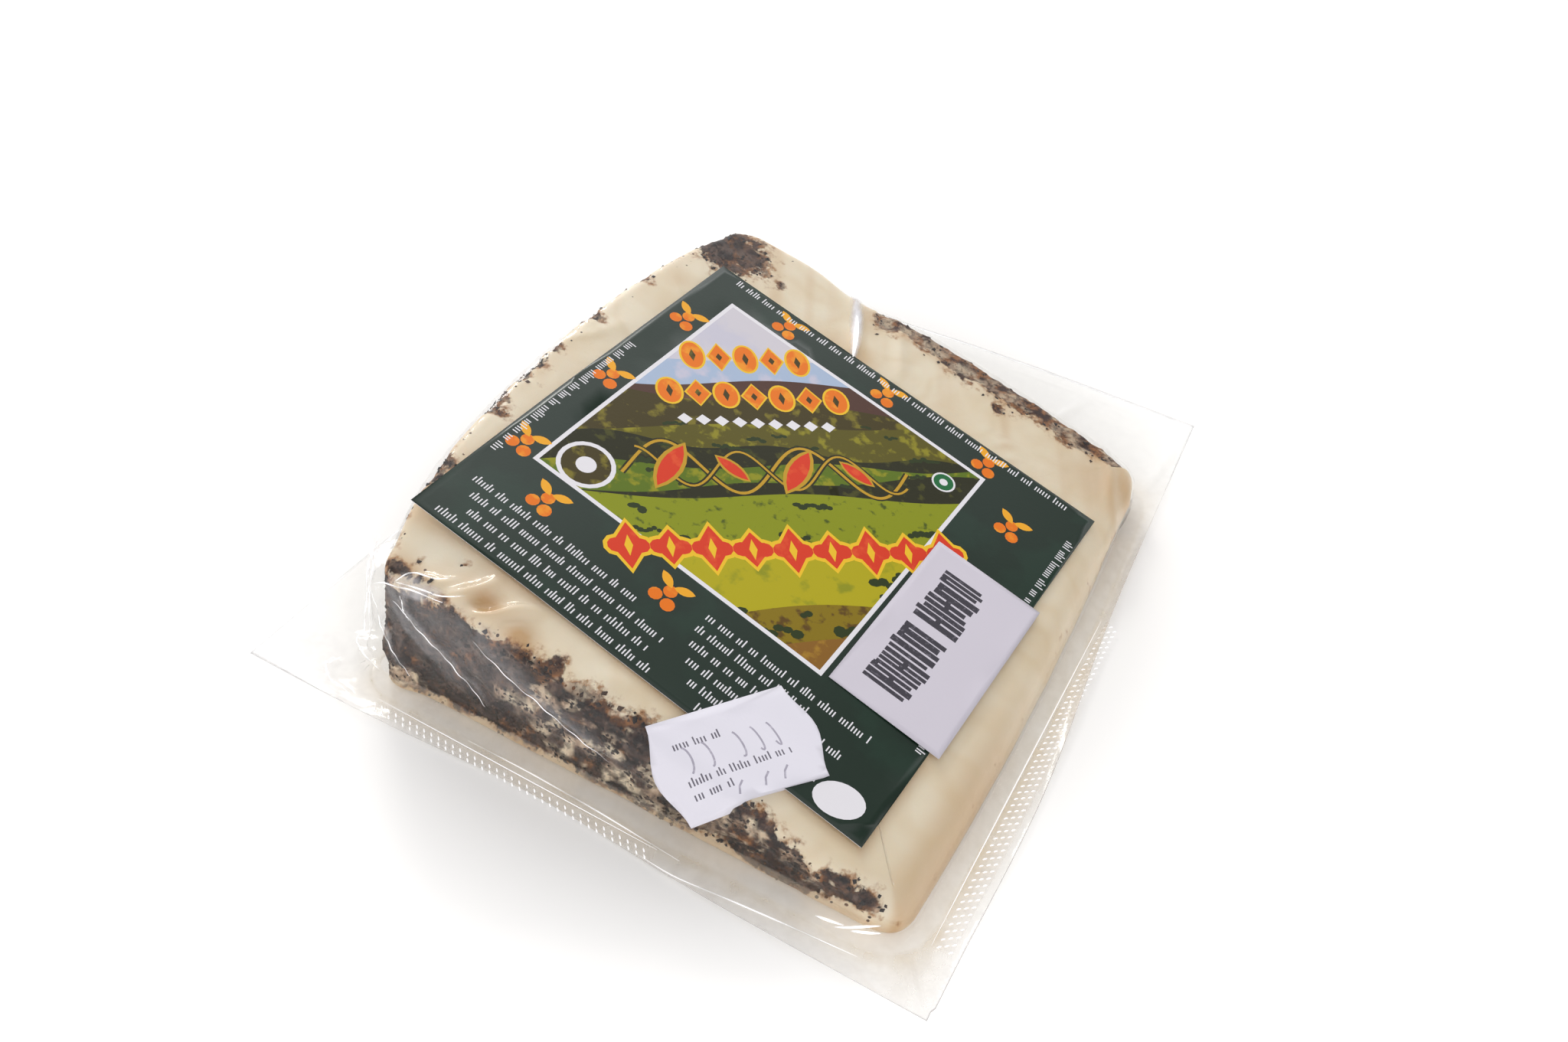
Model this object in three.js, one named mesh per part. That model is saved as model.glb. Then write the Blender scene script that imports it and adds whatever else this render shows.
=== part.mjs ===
import * as THREE from 'three';

// A wedge of soft goat's milk cheese with a peppered rind, sealed in a clear vacuum pouch,
// with a square paper label and two paper stickers on the film. The wedge lies on one of
// its two cut faces, and the other slopes down from the thick heel to the thin tip.
// Lengths are in millimetres. X runs from heel to tip, Y from the near rind face to the
// far one, and Z is up. The model is drawn with the near heel corner at the origin, and
// the group at the end moves the origin to the middle of the pouch's footprint.

// Wedge
const WEDGE_LENGTH = 97;
const HEEL_WIDTH = 117;
const TIP_FLARE = 2;
const HEEL_HEIGHT = 33;
const TIP_HEIGHT = 7.6;
const HEEL_BULGE = 6.3;
const FAR_SIDE_BULGE = 1.75;
const SLOPE = (HEEL_HEIGHT - TIP_HEIGHT) / WEDGE_LENGTH;
const SLOPE_ANGLE = Math.atan(SLOPE);

// Rounding of the wedge's corners in plan, and of its top edge
const HEEL_CORNER = 6;
const TIP_CORNER = 6.5;
const NOSE = 1.5;
const NOSE_TURN = 3.5;
const EDGE_ROUND = 3;
const TIP_ROUND = 5;
const TIP_ROUND_LENGTH = 14;

// Low relief: the craggy rind, the curved heel, the soft top with its dented near heel
// corner, and the hollow that a pleat of the film presses into the far rim
const RIND_RELIEF = 0.55;
const HEEL_SWELL = 1.2;
const TOP_SAG = 0.5;
const DENT_DEPTH = 5;
const DENT_RADIUS = 11;
const HOLLOW_DEPTH = 2.5;
const HOLLOW_PLACE = 29;
const HOLLOW_RADIUS = 7;

// Pouch: its footprint's corners, the two films' flat skirt, and the tent where the film
// leaves the wedge's foot
const POUCH_CORNERS = [[-22.8, -8.2], [106.6, -8.7], [98.5, 147.7], [-21.5, 145.5]];
const SKIRT_THICKNESS = 0.7;
const SKIRT_LIFT = 1.8;
const TENT_REACH = 3.2;
const TENT_HEIGHT = 4.2;
const TENT_SLACK = 0.35;

// Paper
const PAPER_GAP = 0.3;
const PAPER_THICKNESS = 0.35;
const LABEL_SIDE = 90;
const LABEL_MIDDLE = [46.1, 53.9];
const LABEL_TURN = THREE.MathUtils.degToRad(-3.2);
const FLAVOUR_SIZE = [22, 39.5];
const FLAVOUR_MIDDLE = [80.3, 48.8];
const FLAVOUR_TURN = THREE.MathUtils.degToRad(-2.8);
const LOT_SIZE = [24.3, 16.8];
const LOT_END_BUMP = 2.2;
const LOT_MIDDLE = [64.4, 7.8];
const LOT_TURN = THREE.MathUtils.degToRad(58.5);
const LOT_FOLD_START = EDGE_ROUND;
const LOT_FOLD_ANGLE = THREE.MathUtils.degToRad(50);

// Mesh density
const POINTS_ROUND = 128;
const WALL_ROWS = 5;
const ROUNDING_ROWS = 3;
const TOP_ROWS = 5;

// The wedge's outline at its widest, as evenly spaced points that run round from the near
// heel corner, along the near side first. A curve's handles stand out by 4/3 of its bulge,
// or twice its bulge where it has only one
function wedgeOutline() {
  const far = HEEL_WIDTH + TIP_FLARE;
  const tip = WEDGE_LENGTH + NOSE;
  const farTip = tip - NOSE_TURN;
  const heelHandle = -HEEL_BULGE * (4 / 3);
  const outline = new THREE.Shape();
  outline.moveTo(HEEL_CORNER, 0);
  outline.lineTo(tip - TIP_CORNER, 0);
  outline.quadraticCurveTo(tip, 0, tip, TIP_CORNER);
  outline.quadraticCurveTo(tip + NOSE, far / 2, farTip, far - TIP_CORNER);
  outline.quadraticCurveTo(farTip, far, farTip - TIP_CORNER, far);
  outline.quadraticCurveTo(WEDGE_LENGTH / 2, far + 2 * FAR_SIDE_BULGE, HEEL_CORNER, HEEL_WIDTH + 1);
  outline.quadraticCurveTo(0, HEEL_WIDTH, -NOSE, HEEL_WIDTH - HEEL_CORNER);
  outline.bezierCurveTo(heelHandle, HEEL_WIDTH * 0.72, heelHandle, HEEL_WIDTH * 0.34, 0, HEEL_CORNER);
  outline.quadraticCurveTo(0, 0, HEEL_CORNER, 0);
  const points = outline.getSpacedPoints(POINTS_ROUND).slice(0, POINTS_ROUND);
  for (const point of points) {
    const fromHollow = (point.x - HOLLOW_PLACE) / HOLLOW_RADIUS;
    if (point.y > HEEL_WIDTH / 2) point.y -= HOLLOW_DEPTH * Math.exp(-fromHollow * fromHollow);
  }
  return points;
}

// Outward normals of a closed outline that runs anticlockwise
function outlineNormals(points) {
  const count = points.length;
  return points.map((_, i) => {
    const before = points[(i + count - 1) % count];
    const after = points[(i + 1) % count];
    return new THREE.Vector2(after.y - before.y, before.x - after.x).normalize();
  });
}

// Where the ray from the wedge's middle through each outline point leaves the pouch. The
// ray nearest to a corner of the pouch is moved onto it, so that the corners stay sharp
function pouchOutline(points, middle) {
  const corners = POUCH_CORNERS.map(([x, y]) => new THREE.Vector2(x, y));
  const rim = points.map((point) => {
    const ray = point.clone().sub(middle);
    let reach = Infinity;
    corners.forEach((start, k) => {
      const side = corners[(k + 1) % corners.length].clone().sub(start);
      const along = start.clone().sub(middle).cross(side) / ray.cross(side);
      if (along > 0) reach = Math.min(reach, along);
    });
    return middle.clone().addScaledVector(ray, reach);
  });
  for (const corner of corners) {
    const gaps = rim.map((point) => point.distanceTo(corner));
    rim[gaps.indexOf(Math.min(...gaps))] = corner;
  }
  return rim;
}

// 0 on the body of the wedge, 1 at its thin tip
function tipShare(x) {
  return THREE.MathUtils.smoothstep(x, WEDGE_LENGTH - TIP_ROUND_LENGTH, WEDGE_LENGTH);
}

// Slow uneven waves, from -1 to 1
function unevenness(a, b) {
  return 0.5 * Math.sin(0.31 * a + 0.9 * b) + 0.3 * Math.sin(0.73 * a - 0.5 * b + 1.3)
    + 0.2 * Math.sin(1.21 * a + 1.7 * b + 2.1);
}

// Height of the upper cut face, which the papers follow
function faceHeight(x, y) {
  return HEEL_HEIGHT - SLOPE * x + TOP_SAG * Math.sin(0.045 * x + 0.6) * Math.sin(0.04 * y + 0.4);
}

// The same with its dented corner, before its edge is rounded
function topHeight(x, y) {
  const fromCorner = Math.hypot(x, y) / DENT_RADIUS;
  return faceHeight(x, y) - DENT_DEPTH * Math.exp(-fromCorner * fromCorner);
}

// How far the pouch's rim floats over the table
function rimLift(angle) {
  return SKIRT_LIFT * (0.5 + 0.5 * Math.sin(3 * angle + 0.7) * Math.cos(2 * angle));
}

// A closed solid through rings that run out from the middle of the underside, up the sides
// and in again over the top
function loft(rings, low, high) {
  const count = rings[0].length;
  const positions = rings.flat().concat([low, high]).flatMap((p) => [p.x, p.y, p.z]);
  const indices = [];
  const lowPole = rings.length * count;
  const highPole = lowPole + 1;
  const last = (rings.length - 1) * count;
  for (let i = 0; i < count; i += 1) {
    const next = (i + 1) % count;
    indices.push(lowPole, next, i);
    indices.push(highPole, last + i, last + next);
    for (let base = 0; base < last; base += count) {
      const above = base + count;
      indices.push(base + i, base + next, above + next);
      indices.push(base + i, above + next, above + i);
    }
  }
  return closedGeometry(positions, indices);
}

// A thin closed sheet. place gives a point from the two shares across it, 0 to 1, and its
// side: 0 for the underside, 1 for the upper one
function sheet(columns, rows, place) {
  const stride = columns + 1;
  const layer = stride * (rows + 1);
  const positions = [];
  for (const side of [0, 1]) {
    for (let row = 0; row <= rows; row += 1) {
      for (let column = 0; column <= columns; column += 1) {
        positions.push(...place(column / columns, row / rows, side));
      }
    }
  }
  const indices = [];
  for (let row = 0; row < rows; row += 1) {
    for (let column = 0; column < columns; column += 1) {
      const a = row * stride + column;
      const b = a + 1;
      const c = b + stride;
      const d = a + stride;
      indices.push(a, c, b, a, d, c);
      indices.push(layer + a, layer + b, layer + c, layer + a, layer + c, layer + d);
    }
  }
  const border = [];
  for (let column = 0; column < columns; column += 1) border.push(column);
  for (let row = 0; row < rows; row += 1) border.push(row * stride + columns);
  for (let column = columns; column > 0; column -= 1) border.push(rows * stride + column);
  for (let row = rows; row > 0; row -= 1) border.push(row * stride);
  border.forEach((from, i) => {
    const to = border[(i + 1) % border.length];
    indices.push(from, to, layer + to, from, layer + to, layer + from);
  });
  return closedGeometry(positions, indices);
}

function closedGeometry(positions, indices) {
  const geometry = new THREE.BufferGeometry();
  geometry.setAttribute('position', new THREE.Float32BufferAttribute(positions, 3));
  geometry.setIndex(indices);
  geometry.computeVertexNormals();
  return geometry;
}

// The sealed pouch with the wedge in it: one solid out to the film
function packGeometry() {
  const outline = wedgeOutline();
  const normals = outlineNormals(outline);
  const middle = new THREE.Vector2(WEDGE_LENGTH / 2, (HEEL_WIDTH + TIP_FLARE) / 2);
  const rim = pouchOutline(outline, middle);

  const skirtRing = (share, upper) => outline.map((point, i) => {
    const foot = point.clone().addScaledVector(normals[i], TENT_REACH);
    const place = foot.lerp(rim[i], share);
    const lift = share * share * rimLift(Math.atan2(rim[i].y - middle.y, rim[i].x - middle.x));
    return new THREE.Vector3(place.x, place.y, lift + (upper ? SKIRT_THICKNESS : 0));
  });

  const tentRing = () => outline.map((point, i) => {
    const place = point.clone().addScaledVector(normals[i], TENT_REACH * TENT_SLACK);
    const height = TENT_HEIGHT * (1 - 0.5 * tipShare(point.x));
    return new THREE.Vector3(place.x, place.y, SKIRT_THICKNESS + height * TENT_SLACK);
  });

  const wallRing = (share) => outline.map((point, i) => {
    const tip = tipShare(point.x);
    const foot = TENT_HEIGHT * (1 - 0.5 * tip);
    const round = THREE.MathUtils.lerp(EDGE_ROUND, TIP_ROUND, tip);
    const top = topHeight(point.x, point.y) - round;
    const z = foot + (top - foot) * share;
    const heel = THREE.MathUtils.smoothstep(-normals[i].x, 0.5, 0.9);
    const rough = RIND_RELIEF * unevenness(point.x + point.y, z) * (1 - tip) * Math.sin(Math.PI * share);
    const swell = HEEL_SWELL * heel * Math.sin(Math.PI * share);
    const place = point.clone().addScaledVector(normals[i], rough + swell);
    return new THREE.Vector3(place.x, place.y, z);
  });

  const roundedRing = (angle) => outline.map((point, i) => {
    const round = THREE.MathUtils.lerp(EDGE_ROUND, TIP_ROUND, tipShare(point.x));
    const place = point.clone().addScaledVector(normals[i], -round * (1 - Math.cos(angle)));
    const z = topHeight(place.x, place.y) - round * (1 - Math.sin(angle));
    return new THREE.Vector3(place.x, place.y, z);
  });

  const rings = [skirtRing(0, false), skirtRing(0.5, false), skirtRing(1, false)];
  rings.push(skirtRing(1, true), skirtRing(0.5, true), skirtRing(0, true), tentRing());
  for (let row = 0; row <= WALL_ROWS; row += 1) rings.push(wallRing(row / WALL_ROWS));
  for (let row = 1; row <= ROUNDING_ROWS; row += 1) {
    rings.push(roundedRing((row / ROUNDING_ROWS) * (Math.PI / 2)));
  }
  const topEdge = rings.at(-1);
  for (let row = 1; row <= TOP_ROWS; row += 1) {
    const share = 1 - row / (TOP_ROWS + 1);
    rings.push(topEdge.map((point) => {
      const x = middle.x + (point.x - middle.x) * share;
      const y = middle.y + (point.y - middle.y) * share;
      return new THREE.Vector3(x, y, topHeight(x, y));
    }));
  }
  const low = new THREE.Vector3(middle.x, middle.y, 0);
  const high = new THREE.Vector3(middle.x, middle.y, topHeight(middle.x, middle.y));
  return loft(rings, low, high);
}

// A point on a paper that lies on the sloping cut face. along and across are measured on the
// paper from its middle, turn is its turn on the face, and lift is its height over the film
function onTopFace(middle, turn, along, across, lift) {
  const down = along * Math.cos(turn) - across * Math.sin(turn);
  const y = middle[1] + along * Math.sin(turn) + across * Math.cos(turn);
  const x = middle[0] + down * Math.cos(SLOPE_ANGLE);
  return [x + lift * Math.sin(SLOPE_ANGLE), y, faceHeight(x, y) + lift * Math.cos(SLOPE_ANGLE)];
}

function labelGeometry() {
  const cells = 10;
  return sheet(cells, cells, (u, v, side) => onTopFace(LABEL_MIDDLE, LABEL_TURN,
    (u - 0.5) * LABEL_SIDE, (v - 0.5) * LABEL_SIDE, PAPER_GAP + side * PAPER_THICKNESS));
}

const STICKER_GAP = PAPER_GAP + PAPER_THICKNESS + PAPER_GAP;

function flavourStickerGeometry() {
  const [width, length] = FLAVOUR_SIZE;
  return sheet(3, 6, (u, v, side) => onTopFace(FLAVOUR_MIDDLE, FLAVOUR_TURN,
    (u - 0.5) * width, (v - 0.5) * length, STICKER_GAP + side * PAPER_THICKNESS));
}

// The lot sticker has wavy ends, and its lower corner bends down over the near rind edge
function lotStickerGeometry() {
  const [length, width] = LOT_SIZE;
  return sheet(12, 8, (u, v, side) => {
    const bump = LOT_END_BUMP * Math.sin(Math.PI * v) ** 2;
    const along = (u - 0.5) * (length + 2 * bump);
    const lift = STICKER_GAP + side * PAPER_THICKNESS;
    const [x, y, z] = onTopFace(LOT_MIDDLE, LOT_TURN, along, (v - 0.5) * width, lift);
    const past = LOT_FOLD_START - y;
    if (past <= 0) return [x, y, z];
    const radius = EDGE_ROUND + lift;
    const bend = Math.min(past / radius, LOT_FOLD_ANGLE);
    const straight = past - radius * bend;
    const out = radius * Math.sin(bend) + straight * Math.cos(bend);
    const drop = radius * (1 - Math.cos(bend)) + straight * Math.sin(bend);
    return [x - drop * Math.sin(SLOPE_ANGLE), LOT_FOLD_START - out, z - drop * Math.cos(SLOPE_ANGLE)];
  });
}

function namedMesh(name, geometry, color, roughness) {
  const mesh = new THREE.Mesh(geometry, new THREE.MeshStandardMaterial({ color, roughness, metalness: 0 }));
  mesh.name = name;
  return mesh;
}

const pack = namedMesh('sealed_cheese_pouch', packGeometry(), 0xe9ddc8, 0.25);
const label = namedMesh('front_label', labelGeometry(), 0x2f4a3a, 0.4);
const flavourSticker = namedMesh('flavour_sticker', flavourStickerGeometry(), 0xdcd7e3, 0.7);
const lotSticker = namedMesh('lot_sticker', lotStickerGeometry(), 0xdcd7e3, 0.7);

const group = new THREE.Group();
group.add(pack, label, flavourSticker, lotSticker);
const footprint = new THREE.Box3().setFromObject(group);
const centre = footprint.getCenter(new THREE.Vector3());
group.position.set(-centre.x, -centre.y, -footprint.min.z);

export default group;
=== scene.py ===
import math
import random

import bpy
import numpy as np
from mathutils import Matrix, Vector, noise
from mathutils.geometry import delaunay_2d_cdt


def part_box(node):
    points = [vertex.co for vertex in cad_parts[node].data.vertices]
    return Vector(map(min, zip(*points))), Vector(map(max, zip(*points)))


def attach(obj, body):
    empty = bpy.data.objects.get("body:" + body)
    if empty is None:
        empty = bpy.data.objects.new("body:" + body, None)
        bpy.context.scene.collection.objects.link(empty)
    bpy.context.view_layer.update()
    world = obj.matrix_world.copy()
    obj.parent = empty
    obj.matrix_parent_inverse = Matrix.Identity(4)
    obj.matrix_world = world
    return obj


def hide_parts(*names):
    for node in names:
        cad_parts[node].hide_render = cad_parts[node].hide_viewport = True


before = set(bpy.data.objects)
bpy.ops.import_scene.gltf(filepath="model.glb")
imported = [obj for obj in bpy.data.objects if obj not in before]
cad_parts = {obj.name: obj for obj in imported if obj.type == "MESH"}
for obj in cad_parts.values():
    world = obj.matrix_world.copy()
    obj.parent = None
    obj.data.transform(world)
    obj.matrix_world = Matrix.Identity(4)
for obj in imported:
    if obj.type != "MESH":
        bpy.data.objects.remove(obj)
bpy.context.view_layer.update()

# A vacuum pack with a wedge of soft goat's cheese. The wedge has a craggy rind of cracked
# pepper, the clear film is drawn tight over it, and a label and two stickers lie on the film.
# Lengths are in millimetres and turn into metres in to_row. X runs from the heel to the tip,
# Y from the near rind face to the far one, Z up, with the near heel corner at the origin.

random.seed(4)

# Wedge, as in the solid
WEDGE_LENGTH = 97
HEEL_WIDTH = 117
TIP_FLARE = 2
HEEL_HEIGHT = 33
TIP_HEIGHT = 7.6
HEEL_BULGE = 6.3
FAR_SIDE_BULGE = 1.75
SLOPE = (HEEL_HEIGHT - TIP_HEIGHT) / WEDGE_LENGTH
SLOPE_ANGLE = math.atan(SLOPE)
HEEL_CORNER = 6
TIP_CORNER = 6.5
NOSE = 1.5
NOSE_TURN = 3.5
EDGE_ROUND = 3
TIP_ROUND = 5
TIP_ROUND_LENGTH = 14
RIND_RELIEF = 0.25
HEEL_SWELL = 1.2
TOP_SAG = 0.5
DENT_DEPTH = 5
DENT_RADIUS = 11
HOLLOW_DEPTH = 2.5
HOLLOW_PLACE = 29
HOLLOW_RADIUS = 7
WEDGE_MIDDLE = np.array([WEDGE_LENGTH / 2, (HEEL_WIDTH + TIP_FLARE) / 2])

# Pouch
POUCH_CORNERS = np.array([[-22.8, -8.2], [106.6, -8.7], [98.5, 147.7], [-21.5, 145.5]])
SKIRT_LIFT = 1.8
TENT_REACH = 3.2
TENT_HEIGHT = 4.2
FILM_LIFT = 0.35

# Paper
LABEL_SIDE = 90
LABEL_MIDDLE = (46.1, 53.9)
LABEL_TURN = math.radians(-3.2)
FLAVOUR_SIZE = (22, 39.5)
FLAVOUR_MIDDLE = (80.3, 48.8)
FLAVOUR_TURN = math.radians(-2.8)
LOT_SIZE = (24.3, 16.8)
LOT_END_BUMP = 2.2
LOT_MIDDLE = (64.4, 7.8)
LOT_TURN = math.radians(58.5)
LOT_FOLD_START = EDGE_ROUND
LOT_FOLD_ANGLE = math.radians(50)
PAPER_THICKNESS = 0.12
LABEL_LIFT = 0.35
STICKER_LIFT = 0.62

# The pouch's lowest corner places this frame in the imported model's
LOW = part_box("sealed_cheese_pouch")[0]
SHIFT = np.array([LOW.x * 1000, LOW.y * 1000, 0]) - np.append(POUCH_CORNERS.min(0), 0)


def to_row(points):
    """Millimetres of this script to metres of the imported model."""
    return (np.asarray(points, float) + SHIFT) / 1000


def smooth(value, low, high):
    share = np.clip((np.asarray(value, float) - low) / (high - low), 0, 1)
    return share * share * (3 - 2 * share)


def hump(gap, width):
    """1 in the middle of a rounded hump, and fading out over its width."""
    return np.exp(-((gap / width) ** 2))


def oval_gap(across, up, oval_shape):
    """Distance from the middle of an oval, whose edge is at 1. The oval is its middle, half
    width and half height."""
    middle_across, middle_up, width, height = oval_shape
    return np.hypot((across - middle_across) / width, (up - middle_up) / height)


# Shape of the wedge

def bezier(handles, count=60):
    share = np.linspace(0, 1, count, endpoint=False)[:, None]
    points = [np.array(handle, float) for handle in handles]
    while len(points) > 1:
        points = [a * (1 - share) + b * share for a, b in zip(points, points[1:])]
    return points[0]


def wedge_outline(count):
    """Evenly spaced points round the wedge, from the near heel corner along the near side."""
    far = HEEL_WIDTH + TIP_FLARE
    tip = WEDGE_LENGTH + NOSE
    far_tip = tip - NOSE_TURN
    heel_handle = -HEEL_BULGE * (4 / 3)
    curves = [
        [(HEEL_CORNER, 0), (tip - TIP_CORNER, 0)],
        [(tip - TIP_CORNER, 0), (tip, 0), (tip, TIP_CORNER)],
        [(tip, TIP_CORNER), (tip + NOSE, far / 2), (far_tip, far - TIP_CORNER)],
        [(far_tip, far - TIP_CORNER), (far_tip, far), (far_tip - TIP_CORNER, far)],
        [(far_tip - TIP_CORNER, far), (WEDGE_LENGTH / 2, far + 2 * FAR_SIDE_BULGE),
         (HEEL_CORNER, HEEL_WIDTH + 1)],
        [(HEEL_CORNER, HEEL_WIDTH + 1), (0, HEEL_WIDTH), (-NOSE, HEEL_WIDTH - HEEL_CORNER)],
        [(-NOSE, HEEL_WIDTH - HEEL_CORNER), (heel_handle, HEEL_WIDTH * 0.72),
         (heel_handle, HEEL_WIDTH * 0.34), (0, HEEL_CORNER)],
        [(0, HEEL_CORNER), (0, 0), (HEEL_CORNER, 0)],
    ]
    path = np.concatenate([bezier(curve) for curve in curves])
    closed = np.vstack([path, path[:1]])
    run = np.append(0, np.cumsum(np.linalg.norm(np.diff(closed, axis=0), axis=1)))
    stations = np.linspace(0, run[-1], count, endpoint=False)
    points = np.stack([np.interp(stations, run, closed[:, k]) for k in (0, 1)], 1)
    hollow = HOLLOW_DEPTH * hump(points[:, 0] - HOLLOW_PLACE, HOLLOW_RADIUS)
    points[:, 1] -= np.where(points[:, 1] > HEEL_WIDTH / 2, hollow, 0)
    return points


def outline_normals(points):
    along = np.roll(points, -1, 0) - np.roll(points, 1, 0)
    normals = np.stack([along[:, 1], -along[:, 0]], 1)
    return normals / np.linalg.norm(normals, axis=1)[:, None]


def tip_share(x):
    return smooth(x, WEDGE_LENGTH - TIP_ROUND_LENGTH, WEDGE_LENGTH)


def edge_round(x):
    return EDGE_ROUND + (TIP_ROUND - EDGE_ROUND) * tip_share(x)


def unevenness(a, b):
    return (0.5 * np.sin(0.31 * a + 0.9 * b) + 0.3 * np.sin(0.73 * a - 0.5 * b + 1.3)
            + 0.2 * np.sin(1.21 * a + 1.7 * b + 2.1))


def face_height(x, y):
    return HEEL_HEIGHT - SLOPE * x + TOP_SAG * np.sin(0.045 * x + 0.6) * np.sin(0.04 * y + 0.4)


def top_height(x, y):
    return face_height(x, y) - DENT_DEPTH * np.exp(-(x * x + y * y) / DENT_RADIUS**2)


def noise_of(points, size, octaves=3, seed=0.0):
    """Fractal noise from about -1 to 1, whose largest lumps are size across."""
    offset = Vector((seed, seed * 1.7, -seed))
    scale = 1 / size
    return np.array([noise.fractal(Vector(p) * scale + offset, 0.8, 2.1, octaves) for p in points])


def distance_to_path(points, path):
    """Distance from each 2D point to a polyline, and how far along it the nearest place is, 0 to 1."""
    path = np.array(path, float)
    best = np.full(len(points), np.inf)
    place = np.zeros(len(points))
    legs = np.linalg.norm(np.diff(path, axis=0), axis=1)
    run = np.append(0, np.cumsum(legs))
    for k, leg in enumerate(legs):
        way = path[k + 1] - path[k]
        share = np.clip(((points - path[k]) @ way) / leg**2, 0, 1)
        gap = np.linalg.norm(points - path[k] - share[:, None] * way, axis=1)
        place = np.where(gap < best, (run[k] + share * leg) / run[-1], place)
        best = np.minimum(best, gap)
    return best, place


def fold(points, path, height, width, end):
    """Height of a fold along a path, at each 2D point. It fades out towards the path's ends."""
    gap, place = distance_to_path(points, path)
    taper = np.sqrt(np.sin(np.pi * np.clip(place, end, 1 - end)))
    return height * taper * hump(gap, width)


# Folds that the drawn film presses into the soft top face: a path in X and Y, a height and a
# width. The first two hollows between them get a painted warm shade in the paste's colour
TOP_FOLDS = [
    ([(18.6, -0.2), (20.8, 1.5), (22.4, 2.9), (23.6, 4.6), (25.0, 6.3), (28.2, 8.9)], 1.1, 0.9),
    ([(14.6, 0.6), (16.3, 3.0), (17.9, 5.2), (18.9, 7.2), (18.9, 9.6)], 1.0, 1.0),
    ([(5.4, 0.6), (7.0, 1.8), (10.0, 2.7), (12.4, 3.0), (14.0, 4.6)], 0.7, 0.6),
    ([(25.2, 1.4), (26.6, 3.2), (28.4, 4.6)], 0.5, 0.8),
    ([(28.0, 117.5), (31.8, 110.6), (34.7, 104.5), (36.9, 99.0)], 0.7, 1.3),
    ([(39.3, 116.0), (44.0, 106.7), (46.5, 101.0)], 0.5, 1.3),
    ([(86.0, 118.0), (90.5, 110.0), (94.5, 99.0), (96.0, 90.0)], 0.7, 1.0),
    ([(91.0, 117.5), (95.5, 108.0), (98.0, 98.0)], 0.6, 0.9),
    ([(-4.0, 92.0), (3.0, 88.5), (10.0, 86.0)], 0.25, 0.8),
    ([(-4.5, 74.0), (1.0, 70.5), (6.0, 67.5)], 0.25, 0.8),
    ([(-4.5, 55.0), (1.5, 50.5), (4.0, 48.0)], 0.25, 0.7),
    ([(93.0, 118.0), (94.2, 111.0), (95.2, 100.0), (95.0, 91.2)], 0.8, 0.9),
    ([(-4.5, 60.0), (-1.6, 66.0), (0.8, 74.0)], 0.4, 1.0),
    ([(40.0, 4.0), (43.5, 6.0), (46.5, 6.5)], 0.3, 1.2),
]
TOP_HOLLOWS = [((20.6, 4.2), 1.2, 2.6), ((28.6, 2.2), 0.9, 3.2), ((15.0, 8.0), 0.5, 4.5)]

# Pleats of the film that stand off the walls' corners, as outline places and their reach
CORNER_PLEATS = [((0.6, 1.4), 1.5, 1.5), ((0.2, 115.4), 1.6, 1.6), ((97.4, 1.6), 0.9, 1.3),
                 ((94.0, 117.4), 1.1, 1.5)]


def label_gap(x, y):
    """Distance outside the label, less than 0 under it."""
    down = (x - LABEL_MIDDLE[0]) / math.cos(SLOPE_ANGLE)
    over = y - LABEL_MIDDLE[1]
    along = down * math.cos(LABEL_TURN) + over * math.sin(LABEL_TURN)
    across = over * math.cos(LABEL_TURN) - down * math.sin(LABEL_TURN)
    return np.maximum(abs(along), abs(across)) - LABEL_SIDE / 2


def top_relief(x, y, spread=1.0):
    """Height of the folds and hollows at each place on the top face. spread widens the folds."""
    points = np.stack([x, y], 1)
    relief = np.zeros(len(x))
    for path, height, width in TOP_FOLDS:
        relief += fold(points, path, height, width * spread, 0.02)
    for (cx, cy), depth, radius in TOP_HOLLOWS:
        relief -= depth * np.exp(-((x - cx) ** 2 + (y - cy) ** 2) / radius**2)
    return relief * smooth(label_gap(x, y), -0.4, 2.2)


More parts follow.
